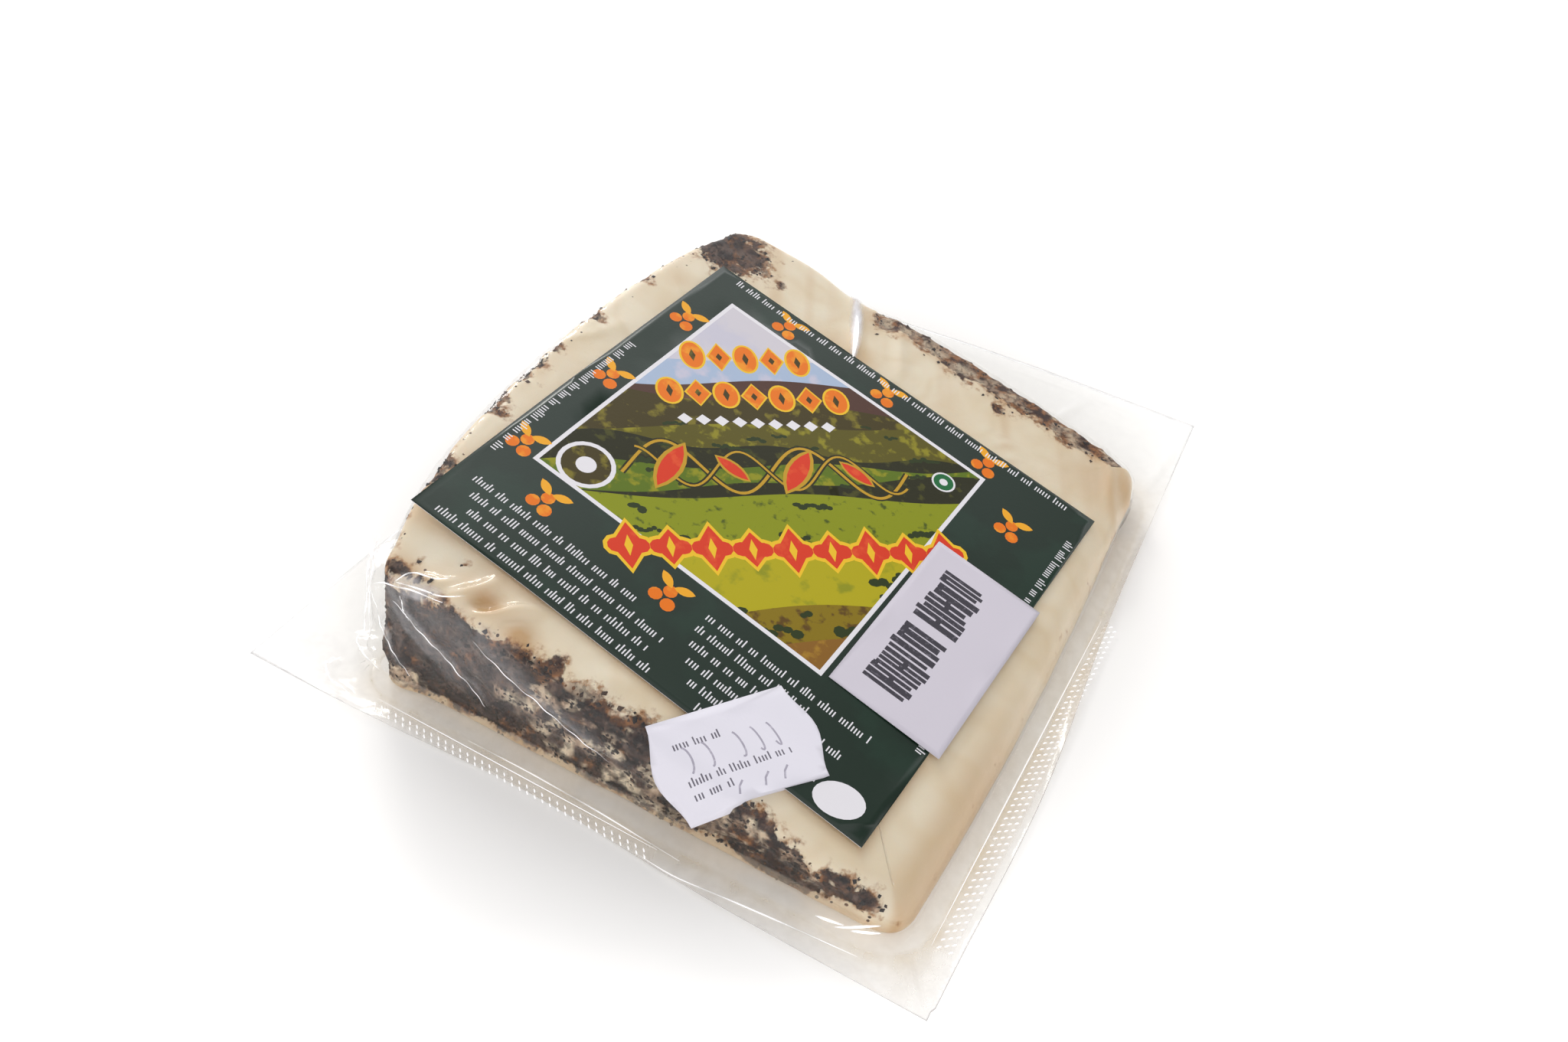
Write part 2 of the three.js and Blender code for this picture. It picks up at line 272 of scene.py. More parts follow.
class Skin:
    """Rings of points round the wedge, and the way that is outward at each of them."""

    def __init__(self, columns):
        self.outline = wedge_outline(columns)
        self.normals = outline_normals(self.outline)
        self.rings, self.ways, self.over = [], [], []

    def add(self, place, z, way, over):
        z = np.broadcast_to(z, len(place))
        self.rings.append(np.column_stack([place, z]))
        self.ways.append(way)
        self.over.append(np.broadcast_to(over, len(place)).astype(float))

    def wall_top(self):
        x, y = self.outline.T
        return top_height(x, y) - edge_round(x)

    def wall(self, z, over_rim):
        """A ring on the wall at height z, with the uneven rind and the heel's swell."""
        x, y = self.outline.T
        foot = TENT_HEIGHT * (1 - 0.5 * tip_share(x))
        share = np.clip((z - foot) / (self.wall_top() - foot), 0, 1)
        heel = smooth(-self.normals[:, 0], 0.5, 0.9)
        rough = RIND_RELIEF * unevenness(x + y, z) * (1 - tip_share(x))
        reach = (rough + HEEL_SWELL * heel) * np.sin(np.pi * share)
        self.add(self.outline + self.normals * reach[:, None], z, flat(self.normals), over_rim)

    def rounding(self, angle):
        x = self.outline[:, 0]
        radius = edge_round(x)
        place = self.outline - self.normals * (radius * (1 - math.cos(angle)))[:, None]
        z = top_height(place[:, 0], place[:, 1]) - radius * (1 - math.sin(angle))
        way = flat(self.normals) * math.cos(angle) + TOP_WAY * math.sin(angle)
        self.add(place, z, way, radius * angle)

    def top(self, share):
        edge = self.outline - self.normals * edge_round(self.outline[:, 0])[:, None]
        place = WEDGE_MIDDLE + (edge - WEDGE_MIDDLE) * share
        inward = np.linalg.norm(edge - WEDGE_MIDDLE, axis=1) * (1 - share)
        way = np.tile(TOP_WAY, (len(place), 1))
        over = edge_round(self.outline[:, 0]) * math.pi / 2 + inward
        self.add(place, top_height(place[:, 0], place[:, 1]), way, over)

    def gather(self):
        """Joins the rings, once all are added, and tells the wedge's sides apart."""
        self.points = np.concatenate(self.rings)
        self.out = np.concatenate(self.ways)
        self.past_rim = np.concatenate(self.over)
        self.sides = np.tile(self.normals, (len(self.rings), 1))
        self.near, self.far, self.heel = (
            smooth(side, 0.5, 0.9)
            for side in (-self.sides[:, 1], self.sides[:, 1], -self.sides[:, 0]))

    def gap_to(self, ring, points):
        """Distance in plan from each point to the point of a ring that is in its column."""
        return np.linalg.norm(points[:, :2] - np.tile(ring, (len(self.rings), 1)), axis=1)


def corner_bulge(points):
    """The near heel corner swells out at its foot."""
    gap = np.hypot(points[:, 0] - 0.8, points[:, 1] - 2.0)
    return 2.1 * hump(gap, 4.5) * smooth(-points[:, 2], -15, -8)


TOP_WAY = np.array([math.sin(SLOPE_ANGLE), 0, math.cos(SLOPE_ANGLE)])


def flat(normals):
    return np.column_stack([normals, np.zeros(len(normals))])


# Meshes

def mesh_piece(name, points, faces, materials, smooth_faces=True, fields=None, face_materials=None):
    """A mesh object from points in millimetres, with named number fields on its points."""
    mesh = bpy.data.meshes.new(name)
    mesh.from_pydata(to_row(points).tolist(), [], [list(face) for face in faces])
    mesh.update()
    for material in materials:
        mesh.materials.append(material)
    if face_materials is not None:
        mesh.polygons.foreach_set("material_index", np.array(face_materials, np.int32))
    mesh.polygons.foreach_set("use_smooth", [smooth_faces] * len(mesh.polygons))
    for field, values in (fields or {}).items():
        attribute = mesh.attributes.new(field, "FLOAT", "POINT")
        attribute.data.foreach_set("value", np.array(values, np.float32))
    piece = bpy.data.objects.new(name, mesh)
    bpy.context.scene.collection.objects.link(piece)
    return piece


def ring_faces(ring_count, columns):
    """Faces of a closed skin: rings from the first pole to the last, which are the last two points."""
    column = np.arange(columns)
    following = (column + 1) % columns
    faces = []
    for base in range(0, (ring_count - 1) * columns, columns):
        quads = [base + column, base + following, base + columns + following, base + columns + column]
        faces += np.stack(quads, 1).tolist()
    first_pole = ring_count * columns
    last = (ring_count - 1) * columns
    faces += [[first_pole, int(b), int(a)] for a, b in zip(column, following)]
    faces += [[first_pole + 1, last + int(a), last + int(b)] for a, b in zip(column, following)]
    return faces


TUBE_SIDES = 6


def tube(path, radius, sides=TUBE_SIDES):
    """Points and faces of a thin tube along a path, thinner towards its ends."""
    path = np.array(path, float)
    count = len(path)
    ways = np.gradient(path, axis=0)
    ways /= np.linalg.norm(ways, axis=1)[:, None]
    points = []
    for k in range(count):
        side = np.cross(ways[k], (0.3, 0.2, 1.0))
        side /= np.linalg.norm(side)
        rise = np.cross(side, ways[k])
        size = radius * math.sin(math.pi * (k + 0.5) / count) ** 0.5
        for step in range(sides):
            angle = 2 * math.pi * step / sides
            points.append(path[k] + size * (math.cos(angle) * side + math.sin(angle) * rise))
    faces = []
    for k in range(count - 1):
        for step in range(sides):
            after = (step + 1) % sides
            low, high = k * sides, (k + 1) * sides
            faces.append([low + step, high + step, high + after, low + after])
    faces.append(list(range(sides)))
    faces.append([(count - 1) * sides + step for step in reversed(range(sides))])
    return points, faces


def joined(parts):
    points, faces = [], []
    for part_points, part_faces in parts:
        base = len(points)
        points += list(part_points)
        faces += [[base + index for index in face] for face in part_faces]
    return points, faces


def curved(path, count=24):
    """A smooth path through a few points of any dimension."""
    path = np.array(path, float)
    run = np.append(0, np.cumsum(np.linalg.norm(np.diff(path, axis=0), axis=1)))
    fine = np.linspace(0, run[-1], count)
    bent = np.stack([np.interp(fine, run, path[:, k]) for k in range(path.shape[1])], 1)
    for _ in range(3):
        bent[1:-1] = (bent[:-2] + 2 * bent[1:-1] + bent[2:]) / 4
    return bent


# Materials

def linear(hexcode):
    """An sRGB hex colour as the linear colour that shaders take."""
    channels = [int(hexcode[k:k + 2], 16) / 255 for k in (1, 3, 5)]
    return tuple(c / 12.92 if c <= 0.04045 else ((c + 0.055) / 1.055) ** 2.4 for c in channels) + (1.0,)


def new_material(name):
    material = bpy.data.materials.new(name)
    material.use_nodes = True
    tree = material.node_tree
    tree.nodes.clear()
    return material, tree


def add(tree, kind, inputs=None, **settings):
    """Adds a node. inputs maps its sockets to numbers, colours, other nodes' outputs, or other
    nodes, which are linked by the first of their outputs that is in use."""
    made = tree.nodes.new("ShaderNode" + kind)
    for setting, value in settings.items():
        setattr(made, setting, value)
    for socket, value in (inputs or {}).items():
        if isinstance(value, bpy.types.Node):
            value = next(output for output in value.outputs if output.enabled)
        if isinstance(value, bpy.types.NodeSocket):
            tree.links.new(value, made.inputs[socket])
        else:
            made.inputs[socket].default_value = value
    return made


def millimetres(tree):
    """The place on the object in millimetres, so that a noise scale is 1 over a real size."""
    place = add(tree, "TexCoord").outputs["Object"]
    return add(tree, "VectorMath", {0: place, "Scale": 1000.0}, operation="SCALE")


# The way that the pepper slid down the near rind face as it was rolled on, and by how much the
# slide drew the mottles out: they are half as long again along it as across it
SLIDE = (0.417, 0.0, 0.909)
SLIDE_STRETCH = 0.34


def slid(points):
    """Places to take noise at, so that its lumps are drawn out along SLIDE."""
    return points - SLIDE_STRETCH * (points @ np.array(SLIDE))[:, None] * np.array(SLIDE)


def slid_place(tree):
    """The same places as slid gives, for a material's noise."""
    even = millimetres(tree)
    along = add(tree, "VectorMath", {0: even, 1: SLIDE}, operation="DOT_PRODUCT")
    short = add(tree, "Math", {0: along, 1: SLIDE_STRETCH}, operation="MULTIPLY")
    short = add(tree, "VectorMath", {0: SLIDE, "Scale": short}, operation="SCALE")
    return add(tree, "VectorMath", {0: even, 1: short}, operation="SUBTRACT")


def lumps(tree, place, size, detail, roughness, seed):
    """Cloudy noise whose lumps are size millimetres across. The seed moves it elsewhere."""
    moved = add(tree, "VectorMath", {0: place, 1: (seed, seed, seed)}, operation="ADD")
    return add(tree, "TexNoise", {"Vector": moved, "Scale": 1 / size, "Detail": detail,
                                  "Roughness": roughness})


def mottle(tree, place, size, detail, roughness, seed, low, high, least=0.0, most=1.0):
    """Soft-edged spots: lumps whose levels from low to high are drawn out from least to most."""
    level = lumps(tree, place, size, detail, roughness, seed)
    return add(tree, "MapRange", {"Value": level, "From Min": low, "From Max": high, "To Min": least,
                                  "To Max": most}, interpolation_type="SMOOTHSTEP")


def two_tone(tree, place, size, detail, roughness, seed, low, high, first, second):
    """A colour that is mottled from one hex value to another."""
    share = mottle(tree, place, size, detail, roughness, seed, low, high)
    return add(tree, "Mix", {0: share, 6: linear(first), 7: linear(second)}, data_type="RGBA")


def layered(tree, colour, layers):
    """Lays colours over one another. Each layer is its share and its colour."""
    for share, over in layers:
        colour = add(tree, "Mix", {0: share, 6: colour, 7: over}, data_type="RGBA")
    return colour


def paste_colour(tree, place, warm):
    """Ivory paste with faint wisps, tanned by the warm share: painted shade in its hollows and at its
    nose, and its own stains.
    """
    base = two_tone(tree, place, 16.0, 2.0, 0.55, 0.0, 0.3, 0.7, "#EFE3CB", "#E8D7B9")
    level = lumps(tree, place, 13.0, 1.0, 0.5, 51.0)
    off_middle = add(tree, "Math", {0: level, 1: 0.5}, operation="SUBTRACT")
    wisp = add(tree, "Math", {0: off_middle, 1: 0.0}, operation="ABSOLUTE")
    wisps = add(tree, "MapRange", {"Value": wisp, "From Min": 0.0, "From Max": 0.09, "To Min": 0.2,
                                   "To Max": 0.0}, interpolation_type="SMOOTHSTEP")
    # The warm share is partly painted shade and partly the paste's own tone
    return layered(tree, base, [(warm, linear("#CDA676")), (wisps, linear("#D8BD92"))])


def crust_colour(tree, place, edge, cream, rust, packed):
    """Mottles a few millimetres wide: grey-brown crust, rust at its thin edge, rubbed patches,
    packed black pepper and grit."""
    crust = two_tone(tree, place, 3.0, 4.0, 0.6, 2.0, 0.42, 0.58, "#2A1C18", "#6A554A")
    brown = two_tone(tree, place, 2.2, 4.0, 0.6, 23.0, 0.42, 0.58, "#40251A", "#93623A")
    pale = two_tone(tree, place, 2.6, 3.0, 0.5, 31.0, 0.35, 0.65, "#BFA38A", "#ECDABD")
    black = two_tone(tree, place, 1.2, 3.0, 0.6, 47.0, 0.45, 0.6, "#170F0E", "#3A251D")
    blotches = mottle(tree, place, 3.4, 3.0, 0.55, 17.0, 0.53, 0.62, 0.0, 0.8)
    rusty = add(tree, "Math", {0: rust, 1: blotches}, operation="ADD")
    thin = add(tree, "Math", {0: edge, 1: 0.7}, operation="MULTIPLY")
    rusty = add(tree, "Math", {0: rusty, 1: thin}, operation="ADD")
    rusty = add(tree, "Clamp", {0: rusty})
    worn = mottle(tree, place, 2.4, 4.0, 0.55, 37.0, 0.3, 0.5)
    worn = add(tree, "Math", {0: cream, 1: worn}, operation="MULTIPLY")
    clump = mottle(tree, place, 1.6, 4.0, 0.6, 43.0, 0.34, 0.48)
    clump = add(tree, "Math", {0: packed, 1: clump}, operation="MULTIPLY")
    grit = mottle(tree, place, 0.8, 2.0, 0.5, 71.0, 0.48, 0.6)
    grit = add(tree, "Math", {0: grit, 1: 0.45}, operation="MULTIPLY")
    return layered(tree, crust, [(rusty, brown), (worn, pale), (clump, black),
                                 (grit, linear("#241814"))])


def speckled(tree, place, colour, crowd, spotted):
    """Specks of ground pepper up to 0.7 mm across, one at most in each millimetre."""
    cells = add(tree, "TexVoronoi", {"Vector": place, "Scale": 1 / 1.0})
    chance = add(tree, "SeparateColor", {0: cells.outputs["Color"]})
    crowd = add(tree, "Math", {0: crowd, 1: spotted}, operation="MULTIPLY")
    picked = add(tree, "Math", {0: chance, 1: crowd}, operation="LESS_THAN")
    radius = add(tree, "MapRange", {"Value": chance.outputs[1], "To Min": 0.12, "To Max": 0.36},
                 interpolation_type="SMOOTHSTEP")
    within = add(tree, "Math", {0: radius, 1: cells}, operation="SUBTRACT")
    speck = add(tree, "MapRange", {"Value": within, "From Max": 0.1}, interpolation_type="SMOOTHSTEP")
    share = add(tree, "Math", {0: picked, 1: speck}, operation="MULTIPLY")
    shade = add(tree, "Mix", {0: chance.outputs[2], 6: linear("#20140F"), 7: linear("#6B4425")},
                data_type="RGBA")
    return layered(tree, colour, [(share, shade)])


def cheese_material():
    """Soft goat's cheese: moist ivory paste that light enters, and a natural rind under coarse
    black pepper. To the eye the rind is charcoal and grey-brown, rust where it stains the
    paste at its margins, with cream showing where the pepper has rubbed off."""
    material, tree = new_material("goat_cheese_with_pepper_rind")
    place = slid_place(tree)
    rind, cream, rust, warm, spotted, packed = (
        add(tree, "Attribute", attribute_name=field).outputs["Fac"]
        for field in ("rind", "cream", "rust", "warm", "spotted", "packed"))

    # Depth inside the rind, in millimetres, with its edge made ragged by two sizes of lumps
    wide = mottle(tree, place, 4.5, 4.0, 0.6, 0.0, 0.25, 0.75, -1.7, 1.7)
    narrow = mottle(tree, place, 1.3, 3.0, 0.6, 9.0, 0.25, 0.75, -0.9, 0.9)
    ragged = add(tree, "Math", {0: wide, 1: narrow}, operation="ADD")
    depth = add(tree, "Math", {0: rind, 1: ragged}, operation="ADD")
    cover, margin, edge, crowd = (
        add(tree, "MapRange", {"Value": depth, "From Min": low, "From Max": high, "To Max": most},
            interpolation_type="SMOOTHSTEP")
        for low, high, most in ((-0.5, 0.7, 1.0), (-2.2, 0.0, 1.0), (2.4, 0.2, 1.0), (-6.5, 0.4, 0.9)))

    stain = mottle(tree, place, 1.8, 3.0, 0.6, 4.0, 0.4, 0.62)
    stain = add(tree, "Math", {0: margin, 1: stain}, operation="MULTIPLY")
    crust = crust_colour(tree, place, edge, cream, rust, packed)
    colour = layered(tree, paste_colour(tree, place, warm), [(stain, linear("#A9794A")), (cover, crust)])
    colour = speckled(tree, place, colour, crowd, spotted)

    rough = add(tree, "MapRange", {"Value": cover, "To Min": 0.42, "To Max": 0.78},
                interpolation_type="SMOOTHSTEP")
    crags = add(tree, "Math", {0: cover, 1: lumps(tree, place, 0.9, 4.0, 0.65, 6.0)},
                operation="MULTIPLY")
    grain = add(tree, "Math", {0: lumps(tree, place, 1.8, 3.0, 0.6, 12.0), 1: 0.25},
                operation="MULTIPLY")
    height = add(tree, "Math", {0: crags, 1: grain}, operation="ADD")
    bump = add(tree, "Bump", {"Height": height, "Strength": 0.6, "Distance": 0.0006})
    skin = add(tree, "BsdfPrincipled", {
        "Base Color": colour, "Roughness": rough, "Normal": bump,
        "Subsurface Weight": 0.22, "Subsurface Radius": (1.0, 0.62, 0.36), "Subsurface Scale": 0.0025,
        "Specular IOR Level": 0.4})
    add(tree, "OutputMaterial", {"Surface": skin})
    return material


def pepper_material():
    """Cracked black peppercorns: wrinkled dark skins and paler broken faces, dull and dry."""
    material, tree = new_material("cracked_black_pepper")
    place = millimetres(tree)
    tone = add(tree, "Attribute", attribute_name="tone").outputs["Fac"]
    wrinkles = add(tree, "TexNoise", {"Vector": place, "Scale": 1 / 0.4, "Detail": 2.0})
    mixed = add(tree, "Math", {0: tone, 1: wrinkles}, operation="MULTIPLY")
    ramp = add(tree, "MapRange", {"Value": mixed, "From Min": 0.15, "From Max": 0.6})
    colour = add(tree, "Mix", {0: ramp, 6: linear("#1E1714"), 7: linear("#5A4233")}, data_type="RGBA")
    skin = add(tree, "BsdfPrincipled", {"Base Color": colour, "Roughness": 0.7})
    add(tree, "OutputMaterial", {"Surface": skin})
    return material


def film_material(name, least_haze=0.0, face_gloss=0.03, painted_glint_glow=0.0):
    """Clear laminated vacuum film, 0.1 mm thick: nearly invisible face on, mirror-like at a
    slant, and faintly milky where whey, folds or the seal cloud it, or where painted sheen,
    glare and shade lie. face_gloss is the share that both of its faces mirror face on. The
    last argument makes the milky share glow as a painted glint of sharp folds."""
    material, tree = new_material(name)
    place = millimetres(tree)
    haze_and_painted_light, cream = (add(tree, "Attribute", attribute_name=field).outputs["Fac"]
                   for field in ("haze_and_painted_light", "cream"))
    cloud = add(tree, "TexNoise", {"Vector": place, "Scale": 1 / 3.0, "Detail": 3.0})
    cloud = add(tree, "MapRange", {"Value": cloud, "From Min": 0.3, "From Max": 0.7,
                                   "To Min": 0.7, "To Max": 1.3})
    share = add(tree, "Math", {0: haze_and_painted_light, 1: cloud, 2: least_haze}, operation="MULTIPLY_ADD")
    # The cream tint is whey, and at the tent and by the foot also a painted warm reflection of the paste
    tint = add(tree, "Mix", {0: cream, 6: linear("#ECEAEC"), 7: linear("#E6D3B3")}, data_type="RGBA")
    clear = add(tree, "BsdfTransparent", {"Color": (0.985, 0.985, 0.98, 1.0)})
    milk = add(tree, "BsdfDiffuse", {"Color": tint})
    body = add(tree, "MixShader", {0: share, 1: clear, 2: milk})
    wrinkle = add(tree, "TexNoise", {"Vector": place, "Scale": 1 / 2.2, "Detail": 2.0})
    bump = add(tree, "Bump", {"Height": wrinkle, "Strength": 0.3, "Distance": 0.0003})
    mirror = add(tree, "BsdfAnisotropic", {"Color": (1.0, 1.0, 1.0, 1.0), "Roughness": 0.09,
                                           "Normal": bump})
    slant = add(tree, "LayerWeight", {"Blend": 0.5, "Normal": bump}).outputs["Facing"]
    rise = add(tree, "Math", {0: slant, 1: 5.0}, operation="POWER")
    gloss = add(tree, "Math", {0: rise, 1: 0.8, 2: face_gloss}, operation="MULTIPLY_ADD")
    skin = add(tree, "MixShader", {0: gloss, 1: body, 2: mirror})
    # Painted glints: the milky share glows as emission
    if painted_glint_glow:
        painted_glint_strength = add(tree, "Math", {0: share, 1: painted_glint_glow}, operation="MULTIPLY")
        light = add(tree, "Emission", {"Strength": painted_glint_strength})
        skin = add(tree, "AddShader", {0: skin, 1: light})
    add(tree, "OutputMaterial", {"Surface": skin})
    return material


def ink_material(name, ground, dab=None, dab_size=1.5, dab_share=0.5, roughness=0.36, coat=0.06):
    """Offset ink on varnished paper: flat colour that varies a little, with a satin shine."""
    material, tree = new_material(name)
    place = millimetres(tree)
    colour = linear(ground)
    if dab:
        spots = add(tree, "TexNoise", {"Vector": place, "Scale": 1 / dab_size, "Detail": 4.0})
        limit = 0.72 - 0.4 * dab_share
        share = add(tree, "MapRange", {"Value": spots, "From Min": limit, "From Max": limit + 0.1})
        colour = add(tree, "Mix", {0: share, 6: linear(ground), 7: linear(dab)}, data_type="RGBA")
    fibre = add(tree, "TexNoise", {"Vector": place, "Scale": 1 / 0.5, "Detail": 2.0})
    dull = add(tree, "MapRange", {"Value": fibre, "To Min": roughness - 0.06, "To Max": roughness + 0.06})
    bump = add(tree, "Bump", {"Height": fibre, "Strength": 0.08, "Distance": 0.0002})
    skin = add(tree, "BsdfPrincipled", {
        "Base Color": colour, "Roughness": dull, "Specular IOR Level": 0.25, "Normal": bump,
        "Coat Weight": coat, "Coat Roughness": 0.25})
    add(tree, "OutputMaterial", {"Surface": skin})
    return material


def floor_material():
    """Matt white board on a light table. Its glow is painted light: strong away from the pouch and weak
    beside it, so the floor is lifted to white except round the pouch, where the shadow stays pale.
    """
    material, tree = new_material("white_studio_board_painted_glow")
    place = millimetres(tree)
    out = add(tree, "VectorMath", {0: place, 1: (1000 / LOW.x, 1000 / LOW.y, 0.0)}, operation="MULTIPLY")
    away = add(tree, "VectorMath", {0: out, "Scale": 1e-6}, operation="SCALE")
    reach = add(tree, "VectorMath", {0: away}, operation="LENGTH")
    # Painted light: the glow fades out near the pouch
    glow = add(tree, "MapRange", {"Value": reach, "From Min": 0.9, "From Max": 1.55,
                                  "To Min": 0.05, "To Max": 0.42}, interpolation_type="SMOOTHSTEP")
    cloud = add(tree, "TexNoise", {"Vector": place, "Scale": 1 / 120.0, "Detail": 2.0})
    colour = add(tree, "Mix", {0: cloud, 6: linear("#F7F5F2"), 7: linear("#FAF9F7")}, data_type="RGBA")
    skin = add(tree, "BsdfPrincipled", {
        "Base Color": colour, "Roughness": 0.8, "Specular IOR Level": 0.2,
        "Emission Color": colour, "Emission Strength": glow})
    add(tree, "OutputMaterial", {"Surface": skin})
    return material


# Cheese

CHEESE_COLUMNS = 680
CHEESE_INSET = 0.4
CHEESE_FLOOR = 0.12
FOOT_GAP = 0.15
FOOT_ROUND = 1.2

# The rind's ragged edges on the near face, by X: how far it reaches over the rim, measured from
# the top of the wall, and the height that it starts at
NEAR_REACH = [(0, 0.6), (16, 0.8), (24, 1.2), (30.8, 2.4), (33, 3.9), (35.8, 5.1), (37, 2.4),
              (40, 3.8), (42, 4.9), (46, 4.2), (51, 5.3), (62, 4.8), (73, 3.9), (76.5, 2.2),
              (80, 1.4), (82, -1.6), (83.2, -1.4), (84, 2.6), (87, 2.8), (90.4, 3.8), (93.1, 3.6),
              (95, 0.5)]
NEAR_FOOT = [(0, 0.6), (10, 2.0), (22, 1.9), (30, 2.3), (38, 2.2), (46, 0.6), (56, 1.0),
             (66, 3.0), (71, 2.5), (77, 1.0), (80.5, 0.9), (83, 2.5), (85.5, 3.8), (88.5, 4.8),
             (92, 5.6)]
FAR_REACH = [(0, 2.0), (12, 0.8), (33, 1.2), (35, 7.0), (38, 8.4), (42, 6.8), (45, 8.0), (54, 9.0),
             (60, 8.4), (66, 9.6), (76, 8.4), (80, 10.0), (84, 7.6), (90, 7.8), (93, 3.0)]
HEEL_CLUSTERS = [18.6, 22.2, 37.4, 40.6, 48.0, 52.3, 58.4, 70.0, 86.5]
CLUSTER_WIDTH = 1.9
RIND_END = 95.5
NO_RIND = -9.0

# Patches on the top face as ovals: middle X and Y, half length and half width. A large one is at
# the back corner, and a long thin one with a warm halo lies by the near heel corner
BACK_PATCH = (2.6, 108.6, 8.5, 7.5)
RIM_PATCH = (5.9, 2.5, 3.2, 0.75)
RIM_HALO = (5.2, 3.3, 4.6, 1.7)
LOOSE_SPOTS = [(65.1, 110.3, 0.9), (15.9, 106.7, 0.6), (6.7, 5.0, 0.5), (13.4, 8.6, 0.45)]
ON_TOP = 20

# Rubbed, rusty and tightly packed patches of the near rind: X, Z, half width and half height
CREAM_PATCHES = [
    (3.2, 4.4, 4.2, 3.0), (28.4, 12.2, 3.2, 2.8), (33.8, 16.7, 3.0, 2.0), (35.5, 4.6, 3.0, 1.7),
    (31.9, 8.6, 2.8, 1.8), (24.6, 11.6, 1.6, 1.8), (38.2, 17.7, 1.5, 1.5), (40.9, 10.0, 1.5, 1.5),
    (37.9, 8.9, 1.8, 1.4), (47.4, 5.6, 4.4, 2.4), (46.7, 11.4, 1.8, 1.3), (54.0, 8.0, 2.6, 2.0),
    (61.0, 7.0, 2.6, 1.3), (66.4, 8.7, 1.2, 2.4), (71.3, 10.8, 1.1, 2.6), (26.5, 1.9, 2.4, 0.8),
]
RUST_PATCHES = [
    (2.4, 4.4, 3.8, 3.4), (16.7, 2.6, 2.2, 1.3), (32.6, 21.0, 2.2, 1.8), (35.7, 25.0, 2.6, 1.8),
    (38.4, 23.0, 1.8, 1.6), (44.0, 21.8, 2.4, 1.4), (49.5, 21.6, 3.2, 1.4), (25.6, 27.0, 2.2, 1.8),
    (72.7, 14.5, 2.4, 1.8), (84.5, 7.4, 4.0, 1.6), (72.5, 7.0, 5.0, 3.4), (62.0, 9.0, 4.0, 3.0),
]
PACKED_PATCHES = [
    (4.4, 20.0, 1.3, 5.0), (7.4, 15.2, 2.4, 1.7), (11.0, 10.4, 2.4, 2.4), (18.8, 23.3, 2.6, 2.2),
    (20.4, 7.6, 2.6, 2.8), (23.1, 2.8, 2.2, 1.2), (26.4, 6.1, 2.0, 1.8), (33.0, 4.4, 1.6, 1.2),
    (40.3, 21.2, 2.6, 2.2), (42.5, 17.6, 2.6, 2.2), (46.8, 17.6, 2.8, 2.0), (50.8, 16.4, 2.8, 2.4),
    (39.1, 12.6, 1.5, 2.2), (43.4, 9.3, 1.7, 1.9), (50.9, 12.2, 2.6, 1.8), (39.6, 2.6, 2.4, 1.5),
    (57.4, 5.6, 3.4, 1.9), (58.0, 11.5, 3.0, 1.6), (64.4, 5.0, 2.8, 1.6), (69.9, 4.5, 2.2, 1.6),
    (75.0, 6.4, 2.4, 1.8), (79.4, 5.6, 2.4, 2.0), (68.8, 12.0, 1.2, 2.6), (75.6, 11.4, 1.6, 1.8),
    (89.0, 9.6, 4.4, 0.9),
]
# Where a patch runs on over the rim, it drifts this far along X and Z for each millimetre of Y
PATCH_DRIFT = (0.47, 1.03)


def patches(across, up, ovals, ragged):
    """How far each place is inside any of the ovals, which have ragged edges, 0 to 1."""
    inside = np.zeros(len(across))
    for oval_shape in ovals:
        inside = np.maximum(inside, smooth(1.2 - oval_gap(across, up, oval_shape) + 0.5 * ragged, 0, 0.5))
    return inside


def cheese_skin():
    """The cheese's rings: round its foot, up the wall, over the rim and in over the top."""
    skin = Skin(CHEESE_COLUMNS)
    for angle in (math.pi / 2, math.pi / 3, math.pi / 6):
        inward = FOOT_ROUND * (1 - math.cos(angle))
        z = FOOT_GAP + FOOT_ROUND * (1 - math.sin(angle))
        way = flat(skin.normals) * math.cos(angle) - np.array([0, 0, math.sin(angle)])
        skin.add(skin.outline - skin.normals * inward, z, way, z - skin.wall_top())
    low = FOOT_ROUND + FOOT_GAP
    for share in np.linspace(0, 1, 42):
        z = low + (skin.wall_top() - low) * share
        skin.wall(z, z - skin.wall_top())
    for step in range(1, 9):
        skin.rounding(math.pi / 2 * step / 8)
    for share in np.concatenate([np.linspace(0.988, 0.78, 16), np.linspace(0.74, 0.05, 12)]):
        skin.top(share)
    skin.gather()
    return skin


def rind_depth(skin):
    """Depth inside the rind in millimetres: over the rim, off the foot, before the bare nose.
    The far rim is bare near its hollow, and the heel's rim has only clusters of pepper."""
    x, y, z = skin.points.T
    clusters = sum(hump(y - place, CLUSTER_WIDTH) for place in HEEL_CLUSTERS)
    reach = skin.near * np.interp(x, *zip(*NEAR_REACH)) + skin.far * np.interp(x, *zip(*FAR_REACH))
    reach = reach + skin.heel * (0.9 + 4.2 * np.minimum(clusters, 1))
    foot = skin.near * np.interp(x, *zip(*NEAR_FOOT)) + (1 - skin.near) * 1.0
    rind = np.minimum(reach - skin.past_rim, (z - foot) * 1.5)
    rind = np.minimum(rind, RIND_END - x)
    rind = np.maximum(rind, 4.5 - 4.8 * oval_gap(x, y, BACK_PATCH))
    leaning = y + 0.08 * (x - RIM_PATCH[0])
    rind = np.maximum(rind, np.where(z > ON_TOP, 2.2 - 2.0 * oval_gap(x, leaning, RIM_PATCH), NO_RIND))
    for middle_x, middle_y, size in LOOSE_SPOTS:
        rind = np.maximum(rind, 1.6 - 1.6 * np.hypot(x - middle_x, y - middle_y) / size)
    return rind


